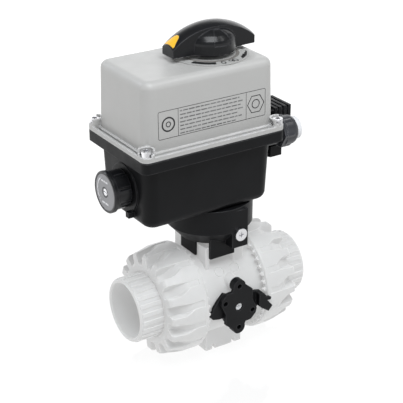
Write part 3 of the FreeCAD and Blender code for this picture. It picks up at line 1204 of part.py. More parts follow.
def power_plug():
    """The rectangular plug connector: base, gasket, finned plug with its own gland nut."""
    keep(block("connector_base", "plug_base_x-1.9", "plug_base_x+3", "plug_y_low",
               "plug_y_high", "plug_bottom", "plug_top"))
    keep(block("connector_gasket", "plug_base_x+3.02", "plug_base_x+4.4", "plug_y_low+0.5",
               "plug_y_high-0.5", "plug_bottom+0.5", "plug_top-0.5"))
    parts = [block("plug_block", "plug_base_x+4.42", "plug_x-0.5", "plug_y_low+1.6",
                   "plug_y_high-1.6", "plug_bottom+1", "plug_top-2.4")]
    for place in range(int(number("fin_count"))):
        high = "plug_x-%d*fin_pitch" % place
        parts.append(block("plug_fin", "%s-2.6" % high, high, "plug_y_low", "plug_y_high",
                           "plug_bottom+1", "plug_top"))
    under = {"x": "throat_x", "y": "(plug_y_low+plug_y_high)/2"}
    parts.append(rod("plug_throat", "throat_r", "plug_bottom-5", "plug_bottom+2", **under))
    bore = rod("plug_bore", "plug_bore_r", "plug_bottom-6", "plug_bottom+16", **under)
    screw_hole = rod("plug_screw_hole", "1.9", "plug_base_x", "plug_x+1", "X",
                     y="(plug_y_low+plug_y_high)/2", z="plug_top-8")
    keep(cut("connector_plug", fuse("plug_solid", *parts), bore, screw_hole))
    flats = hexagon("plug_nut_flats", "plug_nut_r", "plug_bottom-15", "plug_bottom-5.1",
                    **under)
    bore = rod("plug_nut_bore", "plug_bore_r", "plug_bottom-16", "plug_bottom-4", **under)
    keep(cut("connector_nut", flats, bore))


# ---------------------------------------------------------------- the assembly

HALF_TURN = FreeCAD.Rotation(FreeCAD.Vector(0, 0, 1), 180)

valve_body()
ball()
seats_and_seals()
stem()
end_connector("end_connector_right", FreeCAD.Rotation())
end_connector("end_connector_left", HALF_TURN)
union_nut("union_nut_right", FreeCAD.Rotation())
union_nut("union_nut_left", HALF_TURN)
foot_inserts()
lock_plate()
lock_lever()
lock_screw()
mounting_bracket()
bracket_screws()
flange_screws()
stem_coupling()
lower_housing()
upper_cover()
cover_gasket()
cover_screws()
manual_handle()
dial_plate()
shaft_seal()
output_shaft()
gear_frame(*gear_train())
switching()
electronics()
selector()
cable_gland()
power_plug()
doc.recompute()

# ---------------------------------------------------------------- checks and export

for item in doc.Objects:
    if "Invalid" in item.State or "Error" in item.State:
        raise RuntimeError("%s (%s) failed: %s" % (item.Name, item.Label, item.State))
for label, item in NODES.items():
    shape = item.Shape
    if shape.isNull() or not shape.isValid() or not shape.Solids:
        raise RuntimeError(label + " has no sound shape")
    shape.exportStep(os.path.join("parts", label + ".step"))
print("%d nodes written" % len(NODES))
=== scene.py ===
"""Looks of the motorized valve actuator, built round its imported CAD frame. Metres, Z up."""
import json
import math

import bpy
import bmesh
from mathutils import Euler, Matrix, Vector


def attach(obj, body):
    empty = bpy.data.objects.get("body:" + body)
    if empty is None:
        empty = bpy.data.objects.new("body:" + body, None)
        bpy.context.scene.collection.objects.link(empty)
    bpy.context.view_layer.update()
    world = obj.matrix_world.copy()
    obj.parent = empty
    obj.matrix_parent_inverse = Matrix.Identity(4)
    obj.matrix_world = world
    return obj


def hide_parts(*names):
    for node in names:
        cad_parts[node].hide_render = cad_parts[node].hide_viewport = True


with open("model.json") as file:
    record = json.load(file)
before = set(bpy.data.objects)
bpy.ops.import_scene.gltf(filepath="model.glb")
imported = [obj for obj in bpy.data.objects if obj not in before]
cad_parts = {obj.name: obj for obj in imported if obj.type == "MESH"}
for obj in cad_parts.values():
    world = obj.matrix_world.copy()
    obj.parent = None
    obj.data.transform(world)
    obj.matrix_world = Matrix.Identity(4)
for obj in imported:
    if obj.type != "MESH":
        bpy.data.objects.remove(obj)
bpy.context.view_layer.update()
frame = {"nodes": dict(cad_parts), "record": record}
NODES = frame["nodes"]
MM = 0.001


# ---------------------------------------------------------------- materials

# Most of a noise's values lie between these two.
NOISE_LOW, NOISE_HIGH = 0.3, 0.7
# How far a rounded normal has turned from the flat one: at a full edge, and beside it.
EDGE_FULL, EDGE_NONE = 0.75, 0.99
MASK_SAMPLES, RELIEF_SAMPLES = 6, 8
WHITE = (1.0, 1.0, 1.0, 1.0)


def principled(name):
    material = bpy.data.materials.new(name)
    material.use_nodes = True
    tree = material.node_tree
    shader = tree.nodes["Principled BSDF"]
    return material, tree, shader


def add(tree, kind, **settings):
    node = tree.nodes.new(kind)
    for key, value in settings.items():
        setattr(node, key, value)
    return node


def set_inputs(node, **values):
    for key, value in values.items():
        node.inputs[key.replace("_", " ")].default_value = value
    return node


def object_coordinates(tree):
    return add(tree, "ShaderNodeTexCoord").outputs["Object"]


def noise(tree, scale, detail=3.0, rough=0.5):
    """Noise in object space, with scale in cycles per metre."""
    texture = add(tree, "ShaderNodeTexNoise")
    set_inputs(texture, Scale=scale, Detail=detail, Roughness=rough)
    tree.links.new(object_coordinates(tree), texture.inputs["Vector"])
    return texture.outputs["Fac"]


def remap(tree, source, low, high, from_low=NOISE_LOW, from_high=NOISE_HIGH):
    """A source, noise unless told otherwise, stretched to run from low to high."""
    node = add(tree, "ShaderNodeMapRange")
    set_inputs(node, From_Min=from_low, From_Max=from_high, To_Min=low, To_Max=high)
    tree.links.new(source, node.inputs["Value"])
    return node.outputs["Result"]


# A mix node's colour sockets share their names with its number sockets, so they go by place.
MIX_FIRST, MIX_SECOND, MIX_RESULT = 6, 7, 2


def mixed_colour(tree, factor, first, second):
    """Two colours, each a tuple or another node's output, mixed by a factor."""
    node = add(tree, "ShaderNodeMix", data_type="RGBA")
    for place, value in ((MIX_FIRST, first), (MIX_SECOND, second)):
        socket = node.inputs[place]
        if isinstance(value, tuple):
            socket.default_value = (*value, 1.0)
        else:
            tree.links.new(value, socket)
    tree.links.new(factor, node.inputs["Factor"])
    return node.outputs[MIX_RESULT]


def edge_mask(tree, radius):
    """White where a rounded edge turns away from the flat faces beside it."""
    bevel = add(tree, "ShaderNodeBevel", samples=MASK_SAMPLES)
    bevel.inputs["Radius"].default_value = radius
    geometry = add(tree, "ShaderNodeNewGeometry")
    dot = add(tree, "ShaderNodeVectorMath", operation="DOT_PRODUCT")
    tree.links.new(bevel.outputs["Normal"], dot.inputs[0])
    tree.links.new(geometry.outputs["True Normal"], dot.inputs[1])
    return remap(tree, dot.outputs["Value"], 1.0, 0.0, EDGE_FULL, EDGE_NONE)


def relief(tree, shader, heights, bevel_radius):
    """Rounded edges, then a stack of bumps: (height source, strength, distance)."""
    bevel = add(tree, "ShaderNodeBevel", samples=RELIEF_SAMPLES)
    bevel.inputs["Radius"].default_value = bevel_radius
    normal = bevel.outputs["Normal"]
    for source, strength, distance in heights:
        bump = add(tree, "ShaderNodeBump")
        set_inputs(bump, Strength=strength, Distance=distance)
        tree.links.new(source, bump.inputs["Height"])
        tree.links.new(normal, bump.inputs["Normal"])
        normal = bump.outputs["Normal"]
    tree.links.new(normal, shader.inputs["Normal"])


# Depth of the sink marks that every moulding carries, in metres.
WAVE_HEIGHT = 0.0002
GRAIN_STRENGTH = 0.35
COAT_ROUGH = 0.18


def moulded_plastic(name, colour, rough, tint=0.06, grain=2200.0, grain_height=0.00004,
                    wave=0.15, bevel=0.0005, edge_highlight_and_wear=None, specular=0.5, coat=0.0):
    """Injection-moulded plastic: eroded texture, faint sink marks, and paler edges that are partly
    painted highlight and partly light rubbing.
    """
    material, tree, shader = principled(name)
    cloud = noise(tree, scale=28.0, detail=4.0, rough=0.55)
    darker = tuple(max(0.0, c * (1 - tint)) for c in colour)
    lighter = tuple(min(1.0, c * (1 + tint)) for c in colour)
    shade = mixed_colour(tree, remap(tree, cloud, 0.0, 1.0), darker, lighter)
    # Paler edges: a painted edge highlight, patchy like light rubbing.
    if edge_highlight_and_wear:
        mask = edge_mask(tree, bevel * 2)
        patch = add(tree, "ShaderNodeMath", operation="MULTIPLY")
        tree.links.new(mask, patch.inputs[0])
        tree.links.new(remap(tree, noise(tree, scale=160.0), 0.3, 1.0), patch.inputs[1])
        shade = mixed_colour(tree, patch.outputs[0], shade, edge_highlight_and_wear)
    tree.links.new(shade, shader.inputs["Base Color"])
    fine = noise(tree, grain, detail=2.0, rough=0.6)
    gloss = remap(tree, noise(tree, scale=90.0), rough - 0.05, rough + 0.07)
    tree.links.new(gloss, shader.inputs["Roughness"])
    shader.inputs["Specular IOR Level"].default_value = specular
    shader.inputs["Coat Weight"].default_value = coat
    shader.inputs["Coat Roughness"].default_value = COAT_ROUGH
    relief(tree, shader, [(noise(tree, scale=40.0, detail=2.0), wave, WAVE_HEIGHT),
                          (fine, GRAIN_STRENGTH, grain_height)], bevel)
    return material


# A painted glow: the valve's plastic gives out white light of its own, which lightens its shade.
PAINTED_GLOW = 0.235
# The last colour is a painted highlight for the rounded edges.
MILKY_DARK, MILKY_PALE, MILKY_EDGE_HIGHLIGHT = (0.39, 0.391, 0.387), (0.42, 0.421, 0.417), (0.54, 0.545, 0.54)


def natural_plastic():
    """Unpigmented valve plastic: milky and satin, with light scattered inside, a painted highlight
    on its edges, and a painted white glow that lightens its shade.
    """
    material, tree, shader = principled("natural_plastic")
    cloud = remap(tree, noise(tree, scale=22.0, detail=4.0), 0.0, 1.0)
    shade = mixed_colour(tree, cloud, MILKY_DARK, MILKY_PALE)
    # Painted highlight: the rounded edges are paler.
    shade = mixed_colour(tree, edge_mask(tree, radius=0.0008), shade, MILKY_EDGE_HIGHLIGHT)
    tree.links.new(shade, shader.inputs["Base Color"])
    # Painted glow, which lightens the plastic's shade.
    shader.inputs["Emission Color"].default_value = WHITE
    shader.inputs["Emission Strength"].default_value = PAINTED_GLOW
    tree.links.new(remap(tree, noise(tree, scale=70.0), 0.4, 0.52), shader.inputs["Roughness"])
    shader.inputs["Specular IOR Level"].default_value = 0.35
    shader.inputs["Subsurface Weight"].default_value = 0.5
    shader.inputs["Subsurface Radius"].default_value = (1.0, 0.95, 0.9)
    shader.inputs["Subsurface Scale"].default_value = 0.003
    relief(tree, shader, [(noise(tree, scale=45.0, detail=2.0), 0.2, WAVE_HEIGHT),
                          (noise(tree, scale=1800.0, detail=2.0), 0.25, 0.00003)],
           bevel_radius=0.0006)
    return material


def satin_metal(name, colour, rough):
    """Machined or plated metal with fine tool marks."""
    material, tree, shader = principled(name)
    marks = noise(tree, scale=2500.0, detail=2.0)
    shade = mixed_colour(tree, remap(tree, noise(tree, scale=120.0, detail=4.0), 0.0, 1.0),
                         tuple(c * 0.8 for c in colour), colour)
    tree.links.new(shade, shader.inputs["Base Color"])
    shader.inputs["Metallic"].default_value = 1.0
    tree.links.new(remap(tree, marks, rough - 0.08, rough + 0.12), shader.inputs["Roughness"])
    relief(tree, shader, [(marks, 0.2, 0.00002)], bevel_radius=0.0003)
    return material


def soft_rubber(name, colour):
    material, tree, shader = principled(name)
    shade = mixed_colour(tree, remap(tree, noise(tree, scale=300.0, detail=4.0), 0.0, 1.0),
                         tuple(c * 0.7 for c in colour), tuple(c * 1.3 for c in colour))
    tree.links.new(shade, shader.inputs["Base Color"])
    tree.links.new(remap(tree, noise(tree, scale=500.0), 0.55, 0.75), shader.inputs["Roughness"])
    relief(tree, shader, [(noise(tree, scale=3000.0), 0.4, 0.00004)], bevel_radius=0.0003)
    return material


SOLDER_MASK, TRACE = (0.01, 0.11, 0.045), (0.03, 0.22, 0.09)
TRACE_INNER, TRACE_OUTER = 0.04, 0.1


def circuit_board():
    """Green solder mask with paler traces under it."""
    material, tree, shader = principled("circuit_board_mask")
    cells = add(tree, "ShaderNodeTexVoronoi", feature="DISTANCE_TO_EDGE")
    cells.inputs["Scale"].default_value = 260.0
    tree.links.new(object_coordinates(tree), cells.inputs["Vector"])
    traces = remap(tree, cells.outputs["Distance"], 1.0, 0.0, TRACE_INNER, TRACE_OUTER)
    shade = mixed_colour(tree, traces, SOLDER_MASK, TRACE)
    tree.links.new(shade, shader.inputs["Base Color"])
    tree.links.new(remap(tree, noise(tree, scale=200.0), 0.25, 0.4), shader.inputs["Roughness"])
    relief(tree, shader, [(traces, 0.3, 0.00005)], bevel_radius=0.0003)
    return material


# The edge colours below are painted edge highlights, with a little rubbing.
PLASTICS = {
    "cover_grey": dict(
        colour=(0.40, 0.397, 0.387), rough=0.36, tint=0.02, grain=1600.0, grain_height=0.00004,
        wave=0.04, bevel=0.0011, edge_highlight_and_wear=(0.66, 0.66, 0.67), specular=0.4),
    "housing_black": dict(
        colour=(0.0055, 0.0057, 0.0064), rough=0.42, tint=0.2, grain=1500.0,
        grain_height=0.00005, wave=0.1, bevel=0.0008, edge_highlight_and_wear=(0.05, 0.05, 0.053), specular=0.14),
    "handle_black": dict(
        colour=(0.0055, 0.0058, 0.0068), rough=0.32, tint=0.2, grain=2500.0,
        grain_height=0.00002, wave=0.08, bevel=0.0009, edge_highlight_and_wear=(0.05, 0.05, 0.055), specular=0.16,
        coat=0.35),
    "pointer_yellow": dict(
        colour=(0.80, 0.43, 0.022), rough=0.35, grain_height=0.00003, wave=0.1, bevel=0.0004,
        edge_highlight_and_wear=(0.95, 0.65, 0.12)),
    "gland_grey": dict(
        colour=(0.034, 0.035, 0.04), rough=0.3, tint=0.12, grain=1800.0, grain_height=0.00003,
        wave=0.1, edge_highlight_and_wear=(0.16, 0.16, 0.17), specular=0.35),
    "dial_print": dict(colour=(0.37, 0.37, 0.36), rough=0.4, tint=0.03),
    "disc_grey": dict(colour=(0.23, 0.23, 0.24), rough=0.38, tint=0.05),
    "insert_white": dict(colour=(0.66, 0.665, 0.68), rough=0.45, tint=0.05),
    "ptfe": dict(colour=(0.80, 0.80, 0.78), rough=0.5, tint=0.03),
    "gear_nylon": dict(colour=(0.66, 0.62, 0.50), rough=0.5, tint=0.05),
    "terminal_green": dict(colour=(0.04, 0.27, 0.12), rough=0.4),
    "relay_blue": dict(colour=(0.02, 0.08, 0.25), rough=0.35),
    "cam_red": dict(colour=(0.42, 0.03, 0.02), rough=0.45),
}
METALS = {
    "stainless": dict(colour=(0.82, 0.82, 0.84), rough=0.22),
    "brass": dict(colour=(0.80, 0.56, 0.25), rough=0.28),
    "gear_steel": dict(colour=(0.5, 0.5, 0.5), rough=0.35),
    "plate_zinc": dict(colour=(0.62, 0.63, 0.66), rough=0.4),
    "bronze": dict(colour=(0.55, 0.36, 0.18), rough=0.45),
}
SLOT_MATERIALS = {
    "valve_white": natural_plastic(),
    "seal_black": soft_rubber("seal_black", (0.012, 0.012, 0.013)),
    "board_green": circuit_board(),
}
for slot_name, values in PLASTICS.items():
    SLOT_MATERIALS[slot_name] = moulded_plastic(slot_name, **values)
for slot_name, values in METALS.items():
    SLOT_MATERIALS[slot_name] = satin_metal(slot_name, **values)


def ink_and_shade(name, colour, tint, grain=3000.0):
    return moulded_plastic(name, colour, rough=0.5, tint=tint, grain=grain, grain_height=0.00001)


PRINT_INK = ink_and_shade("print_ink", (0.012, 0.012, 0.013), tint=0.25)
PALE_INK = ink_and_shade("pale_ink", (0.72, 0.72, 0.74), tint=0.1)
LABEL_INK = ink_and_shade("label_ink", (0.14, 0.14, 0.14), tint=0.6, grain=900.0)
# A painted shadow colour, for the dark ring beside the hub.
DIAL_PAINTED_SHADOW = ink_and_shade("dial_painted_shadow", (0.17, 0.16, 0.15), tint=0.1, grain=900.0)


def paint(piece, material):
    piece.data.materials.clear()
    piece.data.materials.append(material)


for entry in frame["record"]["subparts"]:
    paint(NODES[entry["node"]], SLOT_MATERIALS[entry["material_slot"]])


# ---------------------------------------------------------------- mesh helpers

def new_piece(name, mesh, body, slot, material=None):
    """A finished mesh becomes a visible piece that rides on a body."""
    piece = bpy.data.objects.new(name, mesh)
    bpy.context.scene.collection.objects.link(piece)
    paint(piece, material or SLOT_MATERIALS[slot])
    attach(piece, body)
    return piece


def smoothstep(low, high, value):
    part = min(1.0, max(0.0, (value - low) / (high - low)))
    return part * part * (3 - 2 * part)


def blend(low, high, part):
    return low + (high - low) * part


def loft_rings(name, rings):
    """A closed tube through rings of equal length: the last ring joins the first."""
    count = len(rings[0])
    verts = [point for ring in rings for point in ring]
    faces = []
    for level in range(len(rings)):
        here = level * count
        there = ((level + 1) % len(rings)) * count
        for place in range(count):
            after = (place + 1) % count
            faces.append((here + place, here + after, there + after, there + place))
    mesh = bpy.data.meshes.new(name)
    mesh.from_pydata(verts, [], faces)
    mesh.validate()
    bm = bmesh.new()
    bm.from_mesh(mesh)
    bmesh.ops.recalc_face_normals(bm, faces=bm.faces)
    bm.to_mesh(mesh)
    bm.free()
    return mesh


def shade_smooth(mesh, sharp_angle):
    """Smooth shading, with creases where faces meet at more than an angle in degrees."""
    mesh.polygons.foreach_set("use_smooth", [True] * len(mesh.polygons))
    mesh.set_sharp_from_angle(angle=math.radians(sharp_angle))
    return mesh


# ---------------------------------------------------------------- union nuts

# In mm: radii from the valve's axis, and places along it from the valve's middle. Angles are
# in degrees.
AXIS_HEIGHT = 52.0
NUT_LOBES = 16
NUT_TEETH = 40
NUT_STEPS = 960
NUT_PHASE = 5.4
NUT_CREASE = 50.0
CROWN_TIP, CROWN_ROOT = 28.0, 30.4
TOOTH_HALF_ANGLE = 2.1
# Widths round the nut are measured at this radius.
PITCH_R = 48.0
NUT_END = 65.0
FACE_R = 34.6
# Half the width of a lobe near the crown, and of its two sides at the nut's end.
LOBE_HALF, LOW_SIDE_END, HIGH_SIDE_END = 6.65, 2.1, 5.5
LOW_SIDE_NARROWS, HIGH_SIDE_NARROWS = (43.0, 55.5), (46.0, 62.0)
# How gently a lobe's flank starts, near the crown and at the nut's end.
EASE_CROWN, EASE_END, EASE_GROWS = 0.45, 1.6, (44.0, 58.0)
# The part of a flank's ease that lies on the lobe's own side of its edge.
EASE_INSIDE = 0.3
# The radius over the lobes: beside the crown, along the lobes, at the end.
STEP_R, NUT_R, NUT_END_R = 47.8, 48.9, 46.0
STEP_END, TAPER = 32.0, (44.0, 64.0)
ROUND_START, ROUND_LENGTH, ROUND_DROP = 62.2, 2.8, 2.2
# The recesses between the lobes start with a small step and swoop deeper towards the end.
RECESS, RECESS_DEPTH = (34.35, 34.85), 0.75
SWOOP, SWOOP_DEPTH = (44.0, 62.5), 7.6
# The flat gaps between the crown's teeth stand this far proud of its root.
GAP_PROUD = 0.02

# Pairs of (radius, place), in order round the nut's section.
BORE_PATH = ((29.6, 64.2), (29.6, 56.5), (37.6, 56.0), (43.3, 50.5), (43.3, 31.2))
MOUTH_PATH = ((34.2, 65.0), (30.6, 65.0), (29.9, 64.8))
# Pairs of (radius, set back from the crown's edge).
CROWN_PATH = ((43.3, 0.0), (43.8, 0.0), (46.3, 0.0), (46.8, 0.4))
CROWN_FOOT = (46.85, CROWN_ROOT + 0.45)
# Places of the rings along the outside: close at both ends, even over the lobes.
OUTER_STOPS = [30.9, 31.3, 32.0, 33.0, 34.2, 34.4, 34.6, 34.8, 35.1]
OUTER_STOPS += [36 + 0.75 * step for step in range(36)]
OUTER_STOPS += [63.4, 64.0, 64.5, 64.8, 65.0]
# Pairs of (share of the way in to the mouth, depth below the end face).
END_FACE_PATH = ((0.25, 0.0), (0.6, 0.0), (0.92, 0.05), (1.0, 0.0))


def lobe_sides(place):
    """How far a lobe reaches to each side of its middle at a place along the axis."""
    low = blend(LOBE_HALF, LOW_SIDE_END, smoothstep(*LOW_SIDE_NARROWS, place))
    high = blend(LOBE_HALF, HIGH_SIDE_END, smoothstep(*HIGH_SIDE_NARROWS, place))
    return low, high


def nut_top(place):
    """The radius over the lobes: a step up from the crown, a taper and a rounded end."""
    if place < STEP_END:
        return blend(STEP_R, NUT_R, smoothstep(CROWN_ROOT, STEP_END, place))
    radius = blend(NUT_R, NUT_END_R, smoothstep(*TAPER, place))
    rounding = max(0.0, (place - ROUND_START) / ROUND_LENGTH)
    return radius - ROUND_DROP * rounding * rounding


def nut_floor(place):
    """The radius of the recesses between the lobes."""
    depth = RECESS_DEPTH * smoothstep(*RECESS, place)
    return nut_top(place) - depth - SWOOP_DEPTH * smoothstep(*SWOOP, place)


def nut_radius(place, angle):
    """The outer radius at a place along the axis and an angle from a lobe's middle."""
    half = math.pi / NUT_LOBES
    offset = ((angle + half) % (2 * half) - half) * PITCH_R
    low, high = lobe_sides(place)
    ease = blend(EASE_CROWN, EASE_END, smoothstep(*EASE_GROWS, place))
    inner = ease * EASE_INSIDE
    on_lobe = smoothstep(-low - ease, -low + inner, offset)
    on_lobe *= 1 - smoothstep(high - inner, high + ease, offset)
    return blend(nut_floor(place), nut_top(place), on_lobe)


def crown_edge(angle):
    """Where the crown ends along the axis: small round teeth with flat gaps."""
    pitch = 2 * math.pi / NUT_TEETH
    offset = abs((angle + pitch / 2) % pitch - pitch / 2)
    middle = pitch / 2 - offset
    width = math.radians(TOOTH_HALF_ANGLE)
    if middle > width:
        return CROWN_ROOT - GAP_PROUD
    return CROWN_ROOT - (CROWN_ROOT - CROWN_TIP) * math.sqrt(1 - (middle / width) ** 2)


def ring(radius_at, place_at):
    """Points round the axis, from the radius and the place at each angle."""
    points = []
    for step in range(NUT_STEPS):
        angle = 2 * math.pi * step / NUT_STEPS
        radius = radius_at(angle) * MM
        points.append((place_at(angle) * MM, radius * math.sin(angle), radius * math.cos(angle)))
    return points


def steady(measure):
    """A measure that is the same all the way round."""
    return lambda angle: measure


def nut_mesh(name):
    """A lobed nut on the +X end, before its phase: bore, crown, lobes and end face."""
    rings = [ring(steady(radius), steady(place)) for radius, place in BORE_PATH]
    for radius, setback in CROWN_PATH:
        rings.append(ring(steady(radius), lambda angle, back=setback: crown_edge(angle) + back))
    foot_radius, foot_place = CROWN_FOOT
    rings.append(ring(steady(foot_radius), steady(foot_place)))
    for stop in OUTER_STOPS:
        rings.append(ring(lambda angle, place=stop: nut_radius(place, angle), steady(stop)))
    for inward, depth in END_FACE_PATH:
        rings.append(ring(
            lambda angle, share=inward: blend(nut_radius(NUT_END, angle), FACE_R, share),
            steady(NUT_END - depth)))
    rings += [ring(steady(radius), steady(place)) for radius, place in MOUTH_PATH]
    return shade_smooth(loft_rings(name, rings), NUT_CREASE)


def union_nuts():
    """Both nuts: the left one is the right one turned half a turn about the upright axis."""
    phase = Matrix.Rotation(math.radians(NUT_PHASE), 4, "X")
    for node, half_turn in (("union_nut_right", 0.0), ("union_nut_left", math.pi)):
        mesh = nut_mesh(node + "_looks")
        turn = Matrix.Rotation(half_turn, 4, "Z") @ phase
        mesh.transform(Matrix.Translation((0, 0, AXIS_HEIGHT * MM)) @ turn)
        piece = new_piece(node + "_lobed", mesh, "frame", "valve_white")
        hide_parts(node)


union_nuts()


# ---------------------------------------------------------------- printed marks, and a painted shadow ring

def ribbon(bm, points, width, lift, place):
    """A flat line along (u, v) points in mm, as a closed strip of a given lift, for print and for a
    painted shadow.
    """
    count = len(points)
    sides = []
    for index, (u, v) in enumerate(points):
        before = points[max(0, index - 1)]
        after = points[min(count - 1, index + 1)]
        run = Vector((after[0] - before[0], after[1] - before[1]))
        run.normalize()
        across = Vector((-run.y, run.x)) * width / 2
        sides.append(((u + across.x, v + across.y), (u - across.x, v - across.y)))
    lower = [[bm.verts.new(place(u, v, 0.0)) for u, v in pair] for pair in sides]
    upper = [[bm.verts.new(place(u, v, lift)) for u, v in pair] for pair in sides]
    for index in range(count - 1):
        for level in (lower, upper):
            bm.faces.new((level[index][0], level[index][1], level[index + 1][1],
                          level[index + 1][0]))
        for side in (0, 1):
            bm.faces.new((lower[index][side], upper[index][side], upper[index + 1][side],
                          lower[index + 1][side]))
    for end in (0, count - 1):
        bm.faces.new((lower[end][0], lower[end][1], upper[end][1], upper[end][0]))


def polar(radius, turn, centre=(0.0, 0.0)):
    """A point at a radius and a turn in degrees."""
    angle = math.radians(turn)
    return (centre[0] + radius * math.cos(angle), centre[1] + radius * math.sin(angle))


def arc(radius, start, end, centre=(0.0, 0.0), step=3.0):
    """Points along an arc, in degrees."""
    count = max(2, int(abs(end - start) / step) + 1)
    return [polar(radius, blend(start, end, place / (count - 1)), centre)
            for place in range(count)]


def oval(u, v, half_wide, half_high, step=20):
    """A closed oval of points round (u, v)."""
    turns = [math.radians(turn) for turn in range(0, 361, step)]
    return [(u + half_wide * math.cos(turn), v + half_high * math.sin(turn)) for turn in turns]


def printed(name, lines, place, body, slot, material, lift=0.05):
    """Lines of (points, width), of print and of a painted shadow, become one thin piece."""
    bm = bmesh.new()
    for points, width in lines:
        ribbon(bm, points, width, lift, place)
    bmesh.ops.recalc_face_normals(bm, faces=bm.faces)
    mesh = bpy.data.meshes.new(name)
    bm.to_mesh(mesh)
    bm.free()
    new_piece(name, mesh, body, slot, material)


def rounded_loop(u_low, u_high, v_low, v_high, radius):
    """A closed outline with rounded corners."""
    left, right = u_low + radius, u_high - radius
    bottom, top = v_low + radius, v_high - radius
    points = []
    for u, v, start in ((right, top, 0), (left, top, 90), (left, bottom, 180),
                        (right, bottom, 270)):
        points += arc(radius, start, start + 90, (u, v), 30.0)
    return points + points[:1]


# How deep a printed line is sunk into its face, in mm, so that no gap shows under it.
INK_SINK = 0.01
COVER_FOOT, COVER_TOP = 207.9, 269.3
COVER_FRONT, COVER_DRAFT = -38.8, 1.2


def on_cover_front(u, v, lift):
    """A point on the drafted front wall, from its X and its height."""
    rise = (v - COVER_FOOT) / (COVER_TOP - COVER_FOOT)
    wall = COVER_FRONT + COVER_DRAFT * rise
    return Vector((u, wall - lift + INK_SINK, v)) * MM


# The front label's edges and the two upright lines that divide it, in mm.
LABEL_LEFT, LABEL_RIGHT, LABEL_LOW, LABEL_HIGH = -72.8, 30.2, 221.4, 244.6
LABEL_FIRST, LABEL_SECOND = -54.4, 11.1
LABEL_CORNER = 1.2
FRAME_LINE, DIVIDER_LINE, MARK_LINE, RING_LINE, BAR_LINE = 0.42, 0.4, 0.8, 1.3, 1.0
RING_R, RING_DOT_R = 5.6, 2.0
HEXAGON_R, HEXAGON_RING_R = 8.2, 3.6
# How fast a bar's length varies from row to row and from word to word.
ROW_PHASE, WORD_PHASE = 1.7, 2.3
# How much of its line each row of bars fills.
ROW_FILLS = (0.92, 0.97, 0.94, 0.99, 0.9, 0.96, 0.86)
ROW_MARGIN, ROW_TOP_MARGIN, ROW_MARGINS = 1.8, 2.6, 4.4
BAR_SHORTEST, BAR_SPREAD, BAR_GAP, BAR_LEAST = 2.0, 3.4, 0.9, 0.8


def label_piece(name, lines, material):
    printed(name, lines, on_cover_front, "frame", "cover_grey", material)


def label_frame():
    outline = rounded_loop(LABEL_LEFT, LABEL_RIGHT, LABEL_LOW, LABEL_HIGH, LABEL_CORNER)
    lines = [(outline, FRAME_LINE)]
    for u in (LABEL_FIRST, LABEL_SECOND):
        lines.append(([(u, LABEL_LOW), (u, LABEL_HIGH)], DIVIDER_LINE))
    label_piece("label_frame", lines, PRINT_INK)


def label_marks():
    """A ring mark in the left box and a six-sided mark in the right one."""
    middle_height = (LABEL_LOW + LABEL_HIGH) / 2
    left = ((LABEL_LEFT + LABEL_FIRST) / 2, middle_height)
    right = ((LABEL_SECOND + LABEL_RIGHT) / 2, middle_height)
    hexagon = [polar(HEXAGON_R, 60 * side, right) for side in range(7)]
    marks = [(arc(RING_R, 0, 360, left), RING_LINE), (arc(RING_DOT_R, 0, 360, left), MARK_LINE),
             (hexagon, MARK_LINE), (arc(HEXAGON_RING_R, 0, 360, right), MARK_LINE)]
    label_piece("label_marks", marks, PRINT_INK)


def label_row(row, fill):
    """One line of short bars of uneven length, as greeked print."""
    v = LABEL_HIGH - ROW_TOP_MARGIN
    v -= row * (LABEL_HIGH - LABEL_LOW - ROW_MARGINS) / (len(ROW_FILLS) - 1)
    u = LABEL_FIRST + ROW_MARGIN
    end = u + (LABEL_SECOND - LABEL_FIRST - 2 * ROW_MARGIN) * fill
    word = 0
    bars = []
    while u < end:
        length = BAR_SHORTEST + BAR_SPREAD * abs(math.sin(ROW_PHASE * row + WORD_PHASE * word))
        stop = min(end, u + length)
        if stop - u > BAR_LEAST:
            bars.append(([(u, v), (stop, v)], BAR_LINE))
        u = stop + BAR_GAP
        word += 1
    return bars


def front_label():
    """A framed panel: a ring mark, greeked lines of print and a six-sided mark."""
    label_frame()
    label_marks()
    bars = []
    for row, fill in enumerate(ROW_FILLS):
        bars += label_row(row, fill)
    label_piece("label_bars", bars, LABEL_INK)


# The scale round the handle: radii in mm and turns in degrees. It repeats after half a turn.
DIAL_FACE = 270.2
SCALE_R = 28.4
BLOCK_TURNS, BLOCK_SWEEP, BLOCK_LINE = (-152.0, 28.0), 40.0, 5.4
CRESCENT_TURNS, CRESCENT_SWEEP, CRESCENT_LINE = (-62.0, 118.0), 38, 1.3
CRESCENT_ARCS, CRESCENT_R, CRESCENT_PITCH = 3, 30.6, 1.1
# How much later each arc starts, and how much earlier it ends, than the one outside it.
CRESCENT_LATER, CRESCENT_EARLIER = 3, 8
TICKS, TICK_TURNS, TICK_PITCH, TICK_LINE = 3, (-14.0, 166.0), 5.5, 0.9
TICK_INNER_R, TICK_OUTER_R, TICK_SHORTENS = 28.0, 31.0, 0.8
NUMBER_TURNS = ((-99.0, (0,)), (-79.0, (9, 0)), (81.0, (0,)), (101.0, (9, 0)))
NUMBER_HEIGHT, NUMBER_SPACING, NUMBER_LINE = 5.4, 4.2, 0.95
# A digit's proportions, in parts of its height, but for the lean, in parts of its half width.
DIGIT_HALF_WIDTH = 0.3
BOWL_RISE, BOWL_HALF_HEIGHT = 0.22, 0.27
TAIL_LEAN, TAIL_BEND, TAIL_END = 0.9, 0.2, 0.48
# A painted shadow: a dark ring beside the hub's foot, as its radius, width and lift in mm.
DIAL_EDGE_R, DIAL_EDGE_LINE, DIAL_EDGE_LIFT = 23.6, 3.0, 0.04


def on_dial(u, v, lift):
    return Vector((u, v, DIAL_FACE - INK_SINK + lift)) * MM


